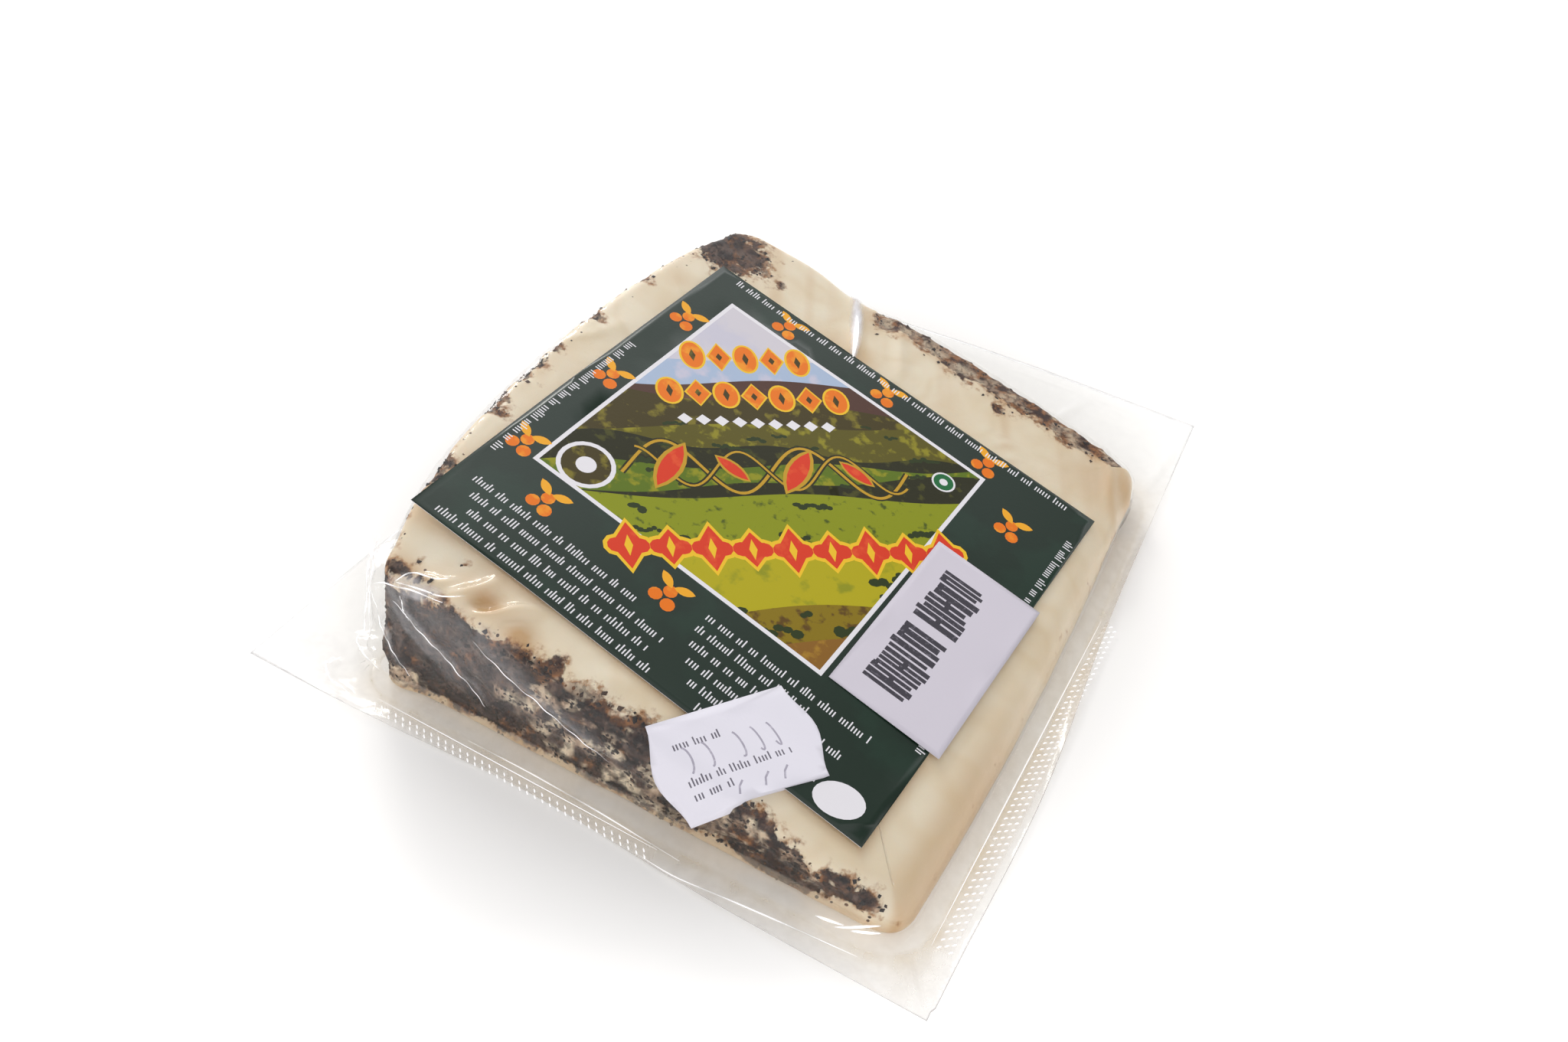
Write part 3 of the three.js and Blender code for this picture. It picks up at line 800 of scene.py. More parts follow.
def paste_warmth_and_painted_shade(skin, ragged):
    """Where the paste is warmer, 0 to 1. Painted shade: its nose, its hollows, the label's edge and
    the near face's foot. Its own tone: the rind's margins, the halo, streaks and clouds, and
    more towards the far tip corner.
    """
    x, y, z = skin.points.T
    on_top = z > ON_TOP
    # Painted shade on the nose, which faces away from the light, stronger towards the near side
    nose = smooth(skin.sides[:, 0], 0.3, 0.8) * smooth(-skin.past_rim, -12.0, -1.0)
    nose *= 0.25 + 0.75 * smooth(-y, -60, -28)
    # Painted shade in the first two hollows
    hollows = sum(np.exp(-((x - cx) ** 2 + (y - cy) ** 2) / (radius * 0.75) ** 2)
                  for (cx, cy), _, radius in TOP_HOLLOWS[:2])
    halo = np.where(on_top, hump(oval_gap(x, y, RIM_HALO), 1), 0)
    slanted = x * 0.89 + y * 0.46
    streaks = noise_of(np.column_stack([slanted, slanted * 0, slanted * 0]), 4.0, 2, 60.0)
    streaks = np.clip(streaks, 0, 1) * smooth(y, 86, 100)
    # Painted shadow along the label's edge, towards the near side
    label_edge_shade = hump(label_gap(x, y), 1.3) * smooth(-y, -60, -20)
    far_tip_corner = np.exp(-((x - 89) ** 2 + (y - 108) ** 2) / 60)
    # Painted shade low on the near face
    foot = skin.near * smooth(-z, -6, -1)
    far_rim = skin.far * smooth(x, 30, 36) * smooth(-skin.past_rim, -12, -5)
    far_rim = far_rim * np.clip(0.6 + ragged, 0, 1)
    clouds = np.clip(noise_of(skin.points, 22.0, 3, 75.0) - 0.05, 0, 1) * on_top
    warm = 0.7 * nose + 1.2 * hollows + 0.7 * clouds + far_rim + 0.85 * halo
    warm = warm + 0.5 * streaks + 0.35 * label_edge_shade
    return np.clip(warm + 0.5 * far_tip_corner + 0.6 * foot, 0, 1)


def rind_fields(skin, ragged):
    """Shares of rubbed cream, rust, packed pepper and specks over the rind. The far and heel
    sides are rustier and more rubbed, and the back corner's patch is neither."""
    x, y, z = skin.points.T
    near, far, heel = skin.near, skin.far, skin.heel
    beyond = np.maximum(y, 0)
    across, up = x + PATCH_DRIFT[0] * beyond, z + PATCH_DRIFT[1] * beyond
    bare = smooth(1.15 - oval_gap(x, y, BACK_PATCH), 0, 0.3)
    cream = patches(across, up, CREAM_PATCHES, ragged) * near
    cream = np.maximum(cream, near * smooth(x, 24, 34) * smooth(ragged, 0.16, 0.34) * 0.8)
    cream = np.maximum(cream, (far + heel) * smooth(-ragged, -0.1, 0.15) * 0.7) * (1 - bare)
    rust = patches(across, up, RUST_PATCHES, ragged) * near + (far * 1.1 + heel * 0.75)
    rust *= 1 - bare
    packed = patches(across, up, PACKED_PATCHES, ragged) * near * (1 - 0.8 * cream)
    packed = np.maximum(packed, (near * 0.6 + far * 0.2 + heel) * smooth(-ragged, 0.05, 0.25))
    # More packed dark pepper towards the heel end of the near face
    darker_towards_heel = near * smooth(-x, -26, -12) * smooth(-ragged, -0.25, 0.1) * 0.85 * (1 - rust)
    packed = np.maximum(packed, darker_towards_heel) * (1 - 0.7 * bare)
    spotted = smooth(-skin.past_rim, -8.0, 0.0) * (1 - smooth(skin.sides[:, 0], 0.4, 0.8))
    spotted *= (near + heel + far * 0.3) * (1 - 0.6 * cream)
    return {"cream": cream, "rust": rust, "spotted": spotted, "packed": packed}


def cheese_wedge():
    """The cheese, and its points, depth inside the unrubbed rind and faces for the pepper."""
    skin = cheese_skin()
    ragged = noise_of(slid(skin.points), 3.0, 4, 40.0)
    rind = rind_depth(skin)
    fields = {"warm": paste_warmth_and_painted_shade(skin, ragged), **rind_fields(skin, ragged)}
    fields = {name: np.append(values, [0.0] * 2) for name, values in fields.items()}
    fields["rind"] = np.append(rind, [NO_RIND] * 2)

    craggy = noise_of(slid(skin.points), 4.0, 4)
    knobbly = noise_of(slid(skin.points), 1.6, 3, 5.0)
    relief = -CHEESE_INSET - smooth(rind, -1.0, 1.5) * (0.38 - 0.3 * craggy - 0.2 * knobbly)
    relief += 0.08 * noise_of(skin.points, 9.0, 2, 11.0)
    x, y = skin.points[:, 0], skin.points[:, 1]
    relief += np.where(skin.out[:, 2] > 0.3, 0.9 * top_relief(x, y, 1.3), 0)
    bulge = flat(skin.sides) * corner_bulge(skin.points)[:, None]
    points = skin.points + skin.out * relief[:, None] + bulge
    points[:, 2] = np.maximum(points[:, 2], CHEESE_FLOOR)

    top_middle = top_height(*WEDGE_MIDDLE) - CHEESE_INSET
    points = np.vstack([points, [[*WEDGE_MIDDLE, CHEESE_FLOOR], [*WEDGE_MIDDLE, top_middle]]])
    faces = ring_faces(len(skin.rings), CHEESE_COLUMNS)
    piece = mesh_piece("goat_cheese_wedge", points, faces, [cheese_material()], fields=fields)
    return piece, points, fields["rind"] - 2.0 * fields["cream"], faces


# Pepper

GRAIN_COUNT = 3400
GRAIN_SIZES = (0.26, 0.6)


def grain_shape():
    """A cracked grain: a lumpy six-cornered stone of about unit radius."""
    corners = []
    for corner in ((1, 0, 0), (-1, 0, 0), (0, 1, 0), (0, -1, 0), (0, 0, 1), (0, 0, -1)):
        corners.append(Vector(corner) * random.uniform(0.7, 1.15)
                       + Vector([random.uniform(-0.25, 0.25) for _ in range(3)]))
    faces = [(0, 2, 4), (2, 1, 4), (1, 3, 4), (3, 0, 4), (2, 0, 5), (1, 2, 5), (3, 1, 5), (0, 3, 5)]
    return corners, faces


def pepper_grains(wedge_points, rind, wedge_faces):
    """Grains pressed into the rind, thinning out over its margins, on random wedge faces."""
    quads = np.array([face for face in wedge_faces if len(face) == 4])
    corners = wedge_points[quads]
    spans = np.cross(corners[:, 2] - corners[:, 0], corners[:, 3] - corners[:, 1])
    areas = np.linalg.norm(spans, axis=1) / 2
    depth = rind[quads].mean(1)
    middles = corners.mean(1)
    # In clumps, none at the foot or on the bare nose, and few on the far rim
    density = np.where(depth > -0.5, 1.0, 0.35 * np.exp(np.minimum(depth, 0) / 1.6))
    density = density * (middles[:, 2] > 1.0) * (depth > -3)
    density *= 0.3 + 1.2 * (noise_of(middles, 4.0, 3, 21.0) > 0.08)
    density *= middles[:, 0] < RIND_END - 0.5
    density *= 1 - 0.75 * smooth(middles[:, 1], 112, 114)
    weights = areas * density
    chances = np.cumsum(weights / weights.sum())
    points, faces, tones = [], [], []
    for _ in range(GRAIN_COUNT):
        quad = min(int(np.searchsorted(chances, random.random())), len(quads) - 1)
        u, v = random.random(), random.random()
        a, b, c, d = corners[quad]
        spot = (a * (1 - u) + b * u) * (1 - v) + (d * (1 - u) + c * u) * v
        out = Vector(spans[quad] / max(np.linalg.norm(spans[quad]), 1e-9))
        size = random.uniform(*GRAIN_SIZES) * random.uniform(0.6, 1.0)
        turn = out.to_track_quat("Z", "Y").to_matrix() @ Matrix.Rotation(random.uniform(0, 6.28), 3, "Z")
        stretch = random.uniform(0.8, 1.5)
        stone, stone_faces = grain_shape()
        base = len(points)
        tone = random.random()
        for corner in stone:
            local = Vector((corner.x * stretch, corner.y, corner.z * 0.55)) * size
            points.append(np.array(spot) + np.array(turn @ local) + np.array(out) * size * 0.12)
            tones.append(tone)
        faces += [[base + index for index in face] for face in stone_faces]
    return mesh_piece("cracked_pepper_grains", points, faces, [pepper_material()],
                      smooth_faces=False, fields={"tone": tones})


# Film

FILM_COLUMNS = 860
NEAR_EDGE_BOW = 2.4
TIP_EDGE_BOW = 2.2
LOWER_FILM_FLOOR = 0.03
UPPER_FILM_FLOOR = 0.1
NEAR_CREASE_RADIUS = 0.085
LOOSE_CREASE_RADIUS = 0.13
GLARE_RADIUS = 0.5
GLINT_RADIUS = 0.2
# The fold over the near heel corner, whose milky film is painted sheen, as an oval on the top face, and
# where it ends along X
HEEL_POCKET = (10.0, 1.0, 5.2, 1.4)
HEEL_POCKET_END = 22
# Clouded bands of the heat seals: their middle line, half width, start and end
NEAR_SEAL_BAND = (-5.4, 1.3, 2, 58)
TIP_SEAL_BAND = (103.6, 1.7, 3, 81)
# Marks for the rings below the rounded rim, in place of their distance past the wall's top
SKIRT_MARK = -40
TENT_MARK = -30
WALL_MARK = -20


def pouch_rim(outline):
    """Where the ray from the wedge's middle through each outline point leaves the pouch, with
    the near edge bowed in and the tip edge bowed out as on the real one."""
    ray = outline - WEDGE_MIDDLE
    reach = np.full(len(outline), np.inf)
    for k in range(4):
        start = POUCH_CORNERS[k]
        side = POUCH_CORNERS[(k + 1) % 4] - start
        gap = start - WEDGE_MIDDLE
        share = (gap[0] * side[1] - gap[1] * side[0]) / (ray[:, 0] * side[1] - ray[:, 1] * side[0])
        reach = np.where(share > 0, np.minimum(reach, share), reach)
    rim = WEDGE_MIDDLE + ray * reach[:, None]
    for corner in POUCH_CORNERS:
        rim[np.argmin(np.linalg.norm(rim - corner, axis=1))] = corner
    on_near = rim[:, 1] < -4
    rim[:, 1] += np.where(on_near, NEAR_EDGE_BOW * hump(rim[:, 0] - 36, 26), 0)
    on_tip = (rim[:, 0] > 97) & (rim[:, 1] > -7) & (rim[:, 1] < 140)
    rim[:, 0] += np.where(on_tip, TIP_EDGE_BOW * hump(rim[:, 1] - 38, 34), 0)
    return rim


def rim_lift(angle):
    return SKIRT_LIFT * (0.5 + 0.5 * np.sin(3 * angle + 0.7) * np.cos(2 * angle))


# Ridges of the skirt: the diagonal folds at the pouch's corners and the curled loops beside the
# near heel corner, as paths in X and Y, a height and a width
SKIRT_FOLDS = [
    ([(-1.4, -0.2), (-5.5, 0.6), (-9.0, 2.6), (-10.5, 5.5)], 1.5, 0.6),
    ([(-3.3, -6.3), (-7.5, -6.0), (-10.3, -3.5), (-9.0, -0.6)], 1.2, 0.6),
    ([(-2.0, 118.0), (-9.0, 128.0), (-18.0, 141.0)], 1.3, 0.9),
    ([(96.0, 121.0), (96.8, 132.0), (97.4, 143.0)], 1.2, 0.8),
    ([(99.0, -1.0), (102.5, -4.5), (105.5, -7.6)], 0.8, 0.7),
    ([(40.0, 123.0), (44.0, 133.0), (46.0, 143.0)], 0.8, 1.2),
    ([(70.0, 122.0), (72.0, 133.0), (75.0, 143.0)], 0.9, 1.2),
    ([(-8.0, 46.0), (-15.0, 50.0), (-21.0, 51.0)], 0.7, 1.0),
    ([(-8.0, 84.0), (-15.0, 83.0), (-21.0, 86.0)], 0.8, 1.1),
]

# Creases of the film over the near rind face, as X and Z, from the heel to the tip
HEEL_CREASE = [(1.2, 24.0), (2.0, 20.1), (2.0, 16.1), (2.9, 13.3), (3.8, 10.4), (6.8, 6.5)]
DARK_CREASE = [(2.9, 23.8), (4.1, 19.5), (5.5, 16.4), (8.5, 14.4), (11.4, 12.0), (14.0, 8.0)]
LONG_CREASE = [(5.7, 24.0), (7.4, 22.9), (9.0, 20.9), (11.5, 18.8), (14.4, 16.9), (16.1, 15.7),
               (17.1, 14.1), (20.0, 12.2), (22.5, 8.8)]
SIDE_CREASE = [(7.3, 26.0), (7.7, 25.0), (7.6, 22.9), (8.6, 21.1)]
TIP_CREASE = [(21.4, 24.0), (22.8, 22.7), (24.5, 21.6), (26.7, 20.1), (29.5, 18.2), (32.4, 17.4),
              (34.4, 16.1), (36.4, 15.2), (38.4, 14.3), (41.0, 13.0), (43.2, 12.2), (46.7, 11.2)]
NEAR_CREASES = [HEEL_CREASE, LONG_CREASE, SIDE_CREASE, TIP_CREASE]

# Sharp folds over the near heel corner, the far rim's glaring crease and the line where the
# film meets the table, in X, Y and Z. Their bright lines, the tip's glints and the far rim's
# glare are painted glints of glowing milky film
LOOSE_CREASES = [
    [(0.5, 0.5, 23.7), (2.6, 0.4, 25.4), (6.1, 0.1, 26.4), (8.3, 0.1, 27.3), (10.8, 0.0, 27.8),
     (13.1, 0.1, 27.8), (15.0, 0.4, 27.7)],
    [(5.8, 0.3, 27.2), (9.7, 0.3, 28.2), (12.1, 0.4, 28.5), (13.8, 0.6, 28.4), (15.5, 1.3, 28.5),
     (17.4, 2.9, 28.4)],
    [(5.4, 0.5, 27.0), (7.0, 1.7, 28.7), (8.4, 2.4, 29.0), (10.0, 2.5, 29.1), (12.0, 2.8, 29.2),
     (13.5, 4.1, 29.2)],
    [(-1.3, 3.6, 29.0), (-1.6, 2.6, 26.5), (-0.6, 0.8, 24.5)],
    [(-0.9, 4.8, 30.4), (-1.0, 2.8, 28.2), (0.7, 0.8, 25.6)],
    [(-2.6, 5.4, 29.0), (-3.0, 3.6, 25.0), (-2.4, 1.6, 20.5), (-1.6, 0.2, 17.0)],
    [(-3.2, 6.6, 26.0), (-3.9, 4.4, 20.0), (-3.4, 2.2, 14.0), (-2.6, 0.6, 9.5)],
    [(-1.2, 1.2, 22.0), (-2.2, 0.2, 16.0), (-2.6, -0.6, 10.0)],
    [(56.0, -6.9, 0.75), (62.7, -7.3, 0.7), (72.9, -6.2, 0.7), (80.7, -5.5, 0.7),
     (93.3, -4.6, 0.75)],
    [(20.0, -3.1, 0.6), (32.0, -3.0, 0.6), (46.0, -3.4, 0.6), (62.0, -4.4, 0.6)],
    [(-1.4, 0.4, 1.4), (-5.5, 1.2, 2.1), (-9.0, 3.0, 2.0), (-10.4, 5.4, 1.2)],
    [(-3.3, -5.8, 1.0), (-7.5, -5.6, 1.8), (-10.3, -3.3, 1.7), (-9.2, -0.6, 1.0)],
]
# Painted glints at the tip, drawn as glowing tubes
TIP_GLINTS = [
    [(84.6, -2.0, 1.1), (87.0, -1.9, 1.5), (89.4, -1.6, 1.8)],
    [(88.0, -2.2, 1.0), (90.4, -1.5, 1.9), (92.2, -0.9, 2.9), (94.6, -0.2, 4.2)],
    [(90.6, -1.8, 1.6), (93.0, -1.2, 2.3), (95.0, -0.6, 3.0)],
]
GLARE_CREASE = [(27.6, 118.2), (31.8, 110.6), (34.7, 104.5), (36.9, 99.0)]


def crease_place(crease, z):
    path = np.array(sorted(crease, key=lambda point: point[1]))
    return np.interp(z, path[:, 1], path[:, 0])


def film_skin():
    """The film's rings: lower film out to the pouch's rim, skirt back in, tent at the wedge's
    foot, wall, rounded rim and top."""
    skin = Skin(FILM_COLUMNS)
    skin.rim = pouch_rim(skin.outline)
    skin.foot = skin.outline + skin.normals * TENT_REACH
    middle = skin.rim - WEDGE_MIDDLE
    lift = rim_lift(np.arctan2(middle[:, 1], middle[:, 0]))
    up = np.tile([0.0, 0.0, 1.0], (FILM_COLUMNS, 1))
    tent_height = TENT_HEIGHT * (1 - 0.5 * tip_share(skin.outline[:, 0]))
    skirt_shares = np.concatenate([np.linspace(0, 0.92, 12), [0.96, 1.0]])

    skin.add(skin.outline - skin.normals * 2, LOWER_FILM_FLOOR, up * 0, 0)
    for share in skirt_shares[::3]:
        skin.add(skin.foot + (skin.rim - skin.foot) * share, 0.06 + share**2 * lift, up * 0, 0)
    lower_rings = len(skin.rings)
    for share in skirt_shares[::-1]:
        z = FILM_LIFT * (1.05 - share) + 0.08 + share**2 * lift
        way = up * math.sin(math.pi * min(1.0, (1 - share) * 3 + 0.12) / 2)
        skin.add(skin.foot + (skin.rim - skin.foot) * share, z, way, SKIRT_MARK)
    handle_out, handle_z = 0.2 * TENT_REACH, 1.0 + 0.2 * tent_height
    for share in np.linspace(0, 1, 8)[1:-1]:
        out = TENT_REACH * (1 - share) ** 2 + 2 * handle_out * share * (1 - share)
        z = FILM_LIFT * (1 - share) ** 2 + 2 * handle_z * share * (1 - share) + tent_height * share**2
        way = flat(skin.normals) * share + up * (1 - share)
        skin.add(skin.outline + skin.normals * out, z, way, TENT_MARK)
    for share in np.linspace(0, 1, 30):
        skin.wall(tent_height + (skin.wall_top() - tent_height) * share, WALL_MARK)
    for step in range(1, 7):
        skin.rounding(math.pi / 2 * step / 6)
    for share in np.concatenate([np.linspace(0.985, 0.72, 20), np.linspace(0.66, 0.06, 8)]):
        skin.top(share)
    skin.gather()

    skin.upper = np.arange(len(skin.points)) >= lower_rings * FILM_COLUMNS
    skin.is_skirt, skin.is_tent, skin.is_wall = (skin.past_rim == mark
                                                 for mark in (SKIRT_MARK, TENT_MARK, WALL_MARK))
    skin.is_top = skin.past_rim >= 0
    skin.draped = skin.is_wall | skin.is_tent | (skin.is_top & (skin.past_rim < 3))
    skin.near_wall = skin.draped & (skin.sides[:, 1] < -0.8)
    skin.away = skin.gap_to(skin.foot, skin.points)
    return skin


def film_relief(skin, fine):
    """How far the film stands out: long radial ripples and folds of the skirt, tight wrinkles
    and creases over the wedge, and pleats at its corners."""
    x, y, z = skin.points.T
    around = np.tile(np.arange(FILM_COLUMNS) / FILM_COLUMNS * 440, len(skin.rings))
    ripple = noise_of(np.column_stack([around, skin.away * 0.3, skin.away * 0]), 11.0, 2, 3.0)
    relief = np.where(skin.is_skirt, 0.55 * np.maximum(ripple, -0.2) * smooth(skin.away, 0, 6), 0)
    for path, height, width in SKIRT_FOLDS:
        relief += np.where(skin.is_skirt, fold(skin.points[:, :2], path, height, width, 0.03), 0)
    relief += np.where(skin.is_wall, 0.16 * fine * (1 - smooth(skin.sides[:, 0], 0.4, 0.8)), 0)
    relief += np.where(skin.is_tent, 0.25 * noise_of(skin.points, 5.0, 2, 14.0), 0)
    for crease in NEAR_CREASES:
        relief += np.where(skin.near_wall, fold(skin.points[:, [0, 2]], crease, 0.5, 0.6, 0.05), 0)
    for (middle_x, middle_y), reach, radius in CORNER_PLEATS:
        height = reach * smooth(z, 1, 7) * smooth(-skin.past_rim, -2, 1)
        gap = np.hypot(x - middle_x, y - middle_y)
        relief += np.where(skin.draped, height * hump(gap, radius), 0)
    relief += np.where(skin.is_top, top_relief(x, y), 0)
    return relief + np.where(skin.is_top, 0.1 * fine * smooth(label_gap(x, y), 0, 2), 0)


def near_wall_painted_sheen(skin):
    """Painted sheen of the film over the near rind: milky bands between its creases, and painted
    highlights along the creases.
    """
    x, _, z = skin.points.T
    heel_crease, dark_crease, long_crease, tip_crease = (
        crease_place(crease, z) for crease in (HEEL_CREASE, DARK_CREASE, LONG_CREASE, TIP_CREASE))
    painted_sheen_facets = smooth(x - dark_crease, 0.3, 1.4) * smooth(long_crease - x, -0.1, 0.3) * 0.15
    painted_sheen_facets += smooth(x - long_crease, 0.0, 0.4) * smooth(tip_crease - x, -3.0, 3.0) * 0.07
    painted_sheen_facets += smooth(x - tip_crease, 0.0, 0.4) * smooth(tip_crease + 9 - x, 0.0, 8.0) * 0.1
    painted_sheen_facets += hump(x - heel_crease + 0.4, 0.5) * 0.3
    haze_and_painted_light = painted_sheen_facets * smooth(z, 7, 15)
    # Painted highlights along the creases
    for crease in NEAR_CREASES:
        haze_and_painted_light += fold(skin.points[:, [0, 2]], crease, 0.2, 0.35, 0.05)
    return np.where(skin.near_wall, haze_and_painted_light, 0)


def top_painted_sheen_and_glare(skin, fine, placed):
    """Painted sheen in streaks in the fold over the heel corner, and the far rim's painted glare."""
    x, y, _ = skin.points.T
    pocket_sheen = 0.4 * smooth(1.1 - oval_gap(x, y, HEEL_POCKET), 0, 0.5) * np.clip(0.3 + fine, 0, 1)
    haze_and_painted_light = np.where(skin.is_top & (x < HEEL_POCKET_END), pocket_sheen, 0)
    # Painted glare: milky white along the far rim's crease
    gap, place = distance_to_path(placed[:, :2], GLARE_CREASE)
    width = 0.35 + 0.75 * np.sin(np.pi * place)
    return haze_and_painted_light + np.where(skin.is_top, 0.95 * np.exp(-((gap / width) ** 4)), 0)


def skirt_haze_and_painted_shade(skin, placed):
    """Whey and painted shadow by the wedge's foot, the heat seals, painted shade along the near and tip
    sides, and the cut edge.
    """
    x, y, _ = skin.points.T
    # Painted shadow: milky film by the foot and along the near and tip sides, where the wedge shades the
    # table
    haze_and_painted_light = 0.14 * np.exp(-skin.away / 4.0) + 0.12 * (smooth(-y, -6, 0) + smooth(x, 97, 101))
    for across, along, band, share in ((y, x, NEAR_SEAL_BAND, 0.1), (x, y, TIP_SEAL_BAND, 0.2)):
        line, half_width, start, end = band
        inside = (abs(across - line) < half_width) & (along > start) & (along < end)
        haze_and_painted_light += np.where(inside, share, 0)
    haze_and_painted_light += 0.05 + 0.12 * hump(skin.gap_to(skin.rim, placed), 0.4)
    return np.where(skin.is_skirt, haze_and_painted_light, 0)


def vacuum_film(material):
    skin = film_skin()
    fine = 1 - 2 * abs(noise_of(skin.points, 5.5, 2, 8.0))
    bulge = corner_bulge(skin.points) * np.where(skin.is_skirt, np.exp(-skin.away / 2.0), skin.upper)
    relief = film_relief(skin, fine)
    placed = skin.points + skin.out * relief[:, None] + flat(skin.sides) * bulge[:, None]
    placed[:, 2] = np.maximum(placed[:, 2], np.where(skin.upper, UPPER_FILM_FLOOR, LOWER_FILM_FLOOR))

    haze_and_painted_light = near_wall_painted_sheen(skin) + top_painted_sheen_and_glare(skin, fine, placed) + skirt_haze_and_painted_shade(skin, placed)
    # Painted shadow at the tent, tinted cream as a painted warm reflection of the paste, with whey
    haze_and_painted_light += np.where(skin.is_tent, 0.2, 0)
    cream = np.where(skin.is_tent, 0.9, 0) + np.where(skin.is_skirt, np.exp(-skin.away / 5.0), 0)
    fields = {"haze_and_painted_light": np.append(haze_and_painted_light, [0, 0]), "cream": np.append(cream, [0, 0])}
    poles = [[*WEDGE_MIDDLE, LOWER_FILM_FLOOR], [*WEDGE_MIDDLE, top_height(*WEDGE_MIDDLE)]]
    faces = ring_faces(len(skin.rings), FILM_COLUMNS)
    points = np.vstack([placed, poles])
    return mesh_piece("clear_vacuum_film", points, faces, [material], fields=fields)


def film_creases(material):
    """Sharp folded edges of the film, as thin tubes whose bright lines are painted glints of glowing
    milky film. The far rim's glare and the tip's glints are painted the same way.
    """
    parts, haze_and_painted_light = [], []
    for crease in NEAR_CREASES:
        line = curved(crease, 40)
        wander = 0.1 * np.sin(np.arange(40) * 1.1)
        path = np.column_stack([line[:, 0], np.full(40, -0.95) + wander * 0.5, line[:, 1] + wander])
        parts.append(tube(path, NEAR_CREASE_RADIUS))
    for crease in LOOSE_CREASES:
        parts.append(tube(curved(crease, 30), LOOSE_CREASE_RADIUS))
    # How milky, and so how bright a painted glint, each tube is
    for part_points, _ in parts:
        haze_and_painted_light += [0.15 + 0.8 * random.random() ** 2] * TUBE_SIDES
        rest = range(len(part_points) - TUBE_SIDES)
        haze_and_painted_light += [0.45 + 0.4 * math.sin(k * 0.09 + len(haze_and_painted_light)) for k in rest]
    # Painted glare along the far rim and painted glints at the tip, brightest in their middles
    x, y = curved(GLARE_CREASE[1:], 24).T
    glare = np.column_stack([x, y, top_height(x, y) + 0.75])
    glints = [(curved(crease, 16), GLINT_RADIUS) for crease in TIP_GLINTS]
    for path, radius in [(glare, GLARE_RADIUS)] + glints:
        parts.append(tube(path, radius))
        share = np.repeat(np.arange(len(path)) / (len(path) - 1), TUBE_SIDES)
        haze_and_painted_light += (0.1 + 1.9 * np.sin(np.pi * share)).tolist()
    points, faces = joined(parts)
    fields = {"haze_and_painted_light": haze_and_painted_light, "cream": [0.0] * len(points)}
    return mesh_piece("film_crease_lines", points, faces, [material], fields=fields)


# Knurled heat seals: start and end of the inner line, how many rows, and the way outward
SEALS = [((2.0, -4.2), (58.0, -4.6), 2, (0, -1)), ((102.0, 3.0), (101.0, 81.0), 3, (1, 0))]
KNURL_PITCH = 1.5


def seal_knurls(material):
    """The heat seal's pressed pattern: short slanted ribs in rows, and a fine line inside them."""
    parts = []
    for start, end, rows, outward in SEALS:
        start, end, outward = (np.array(value, float) for value in (start, end, outward))
        way = (end - start) / np.linalg.norm(end - start)
        for row in range(rows):
            place = start + outward * (0.9 + 0.95 * row)
            for step in range(int(np.linalg.norm(end - start) / KNURL_PITCH)):
                spot = place + way * KNURL_PITCH * (step + 0.5 * (row % 2))
                ahead = spot + way * 0.55 + outward * 0.5
                z = FILM_LIFT + 0.42
                parts.append(tube([(*spot, z), (*((spot + ahead) / 2), z + 0.1), (*ahead, z)], 0.15, 4))
        line = [(*(start + way * share * np.linalg.norm(end - start)), FILM_LIFT + 0.4)
                for share in np.linspace(0, 1, 30)]
        parts.append(tube(line, 0.11, 4))
    points, faces = joined(parts)
    # The ribs glow in the crease film as painted glints
    fields = {"haze_and_painted_light": [0.8] * len(points), "cream": [0.0] * len(points)}
    return mesh_piece("heat_seal_knurls", points, faces, [material], fields=fields)


# Paper

def on_top_face(middle, turn, along, across, lift):
    """A place on a paper that lies on the sloping face, as in the solid."""
    down = along * math.cos(turn) - across * math.sin(turn)
    y = middle[1] + along * math.sin(turn) + across * math.cos(turn)
    x = middle[0] + down * math.cos(SLOPE_ANGLE)
    return [x + lift * math.sin(SLOPE_ANGLE), y, face_height(x, y) + lift * math.cos(SLOPE_ANGLE)]


def label_place(along, across):
    wave = 0.10 * math.sin(0.11 * along + 0.05 * across) + 0.07 * math.sin(0.17 * across - 0.06 * along)
    return on_top_face(LABEL_MIDDLE, LABEL_TURN, along, across, LABEL_LIFT + wave)


def flavour_place(along, across):
    wave = 0.06 * math.sin(0.3 * across) + 0.05 * math.sin(0.35 * along + 1)
    return on_top_face(FLAVOUR_MIDDLE, FLAVOUR_TURN, along, across, STICKER_LIFT + 0.08 + wave)


def lot_place(along, across):
    """The lot sticker's lower corner bends down over the near rim."""
    lift = STICKER_LIFT + 0.12 + 0.12 * math.sin(0.5 * along + 0.3 * across)
    x, y, z = on_top_face(LOT_MIDDLE, LOT_TURN, along, across, lift)
    past = LOT_FOLD_START - y
    if past <= 0:
        return [x, y, z]
    radius = EDGE_ROUND + lift
    bend = min(past / radius, LOT_FOLD_ANGLE)
    straight = past - radius * bend
    out = radius * math.sin(bend) + straight * math.cos(bend)
    drop = radius * (1 - math.cos(bend)) + straight * math.sin(bend)
    return [x - drop * math.sin(SLOPE_ANGLE), LOT_FOLD_START - out, z - drop * math.cos(SLOPE_ANGLE)]


def turned(points, middle, turn):
    cos, sin = math.cos(turn), math.sin(turn)
    return [(middle[0] + a * cos - b * sin, middle[1] + a * sin + b * cos) for a, b in points]


def oval(middle, width, height, turn=0.0, count=24):
    angles = [2 * math.pi * k / count for k in range(count)]
    return turned([(width / 2 * math.cos(a), height / 2 * math.sin(a)) for a in angles], middle, turn)


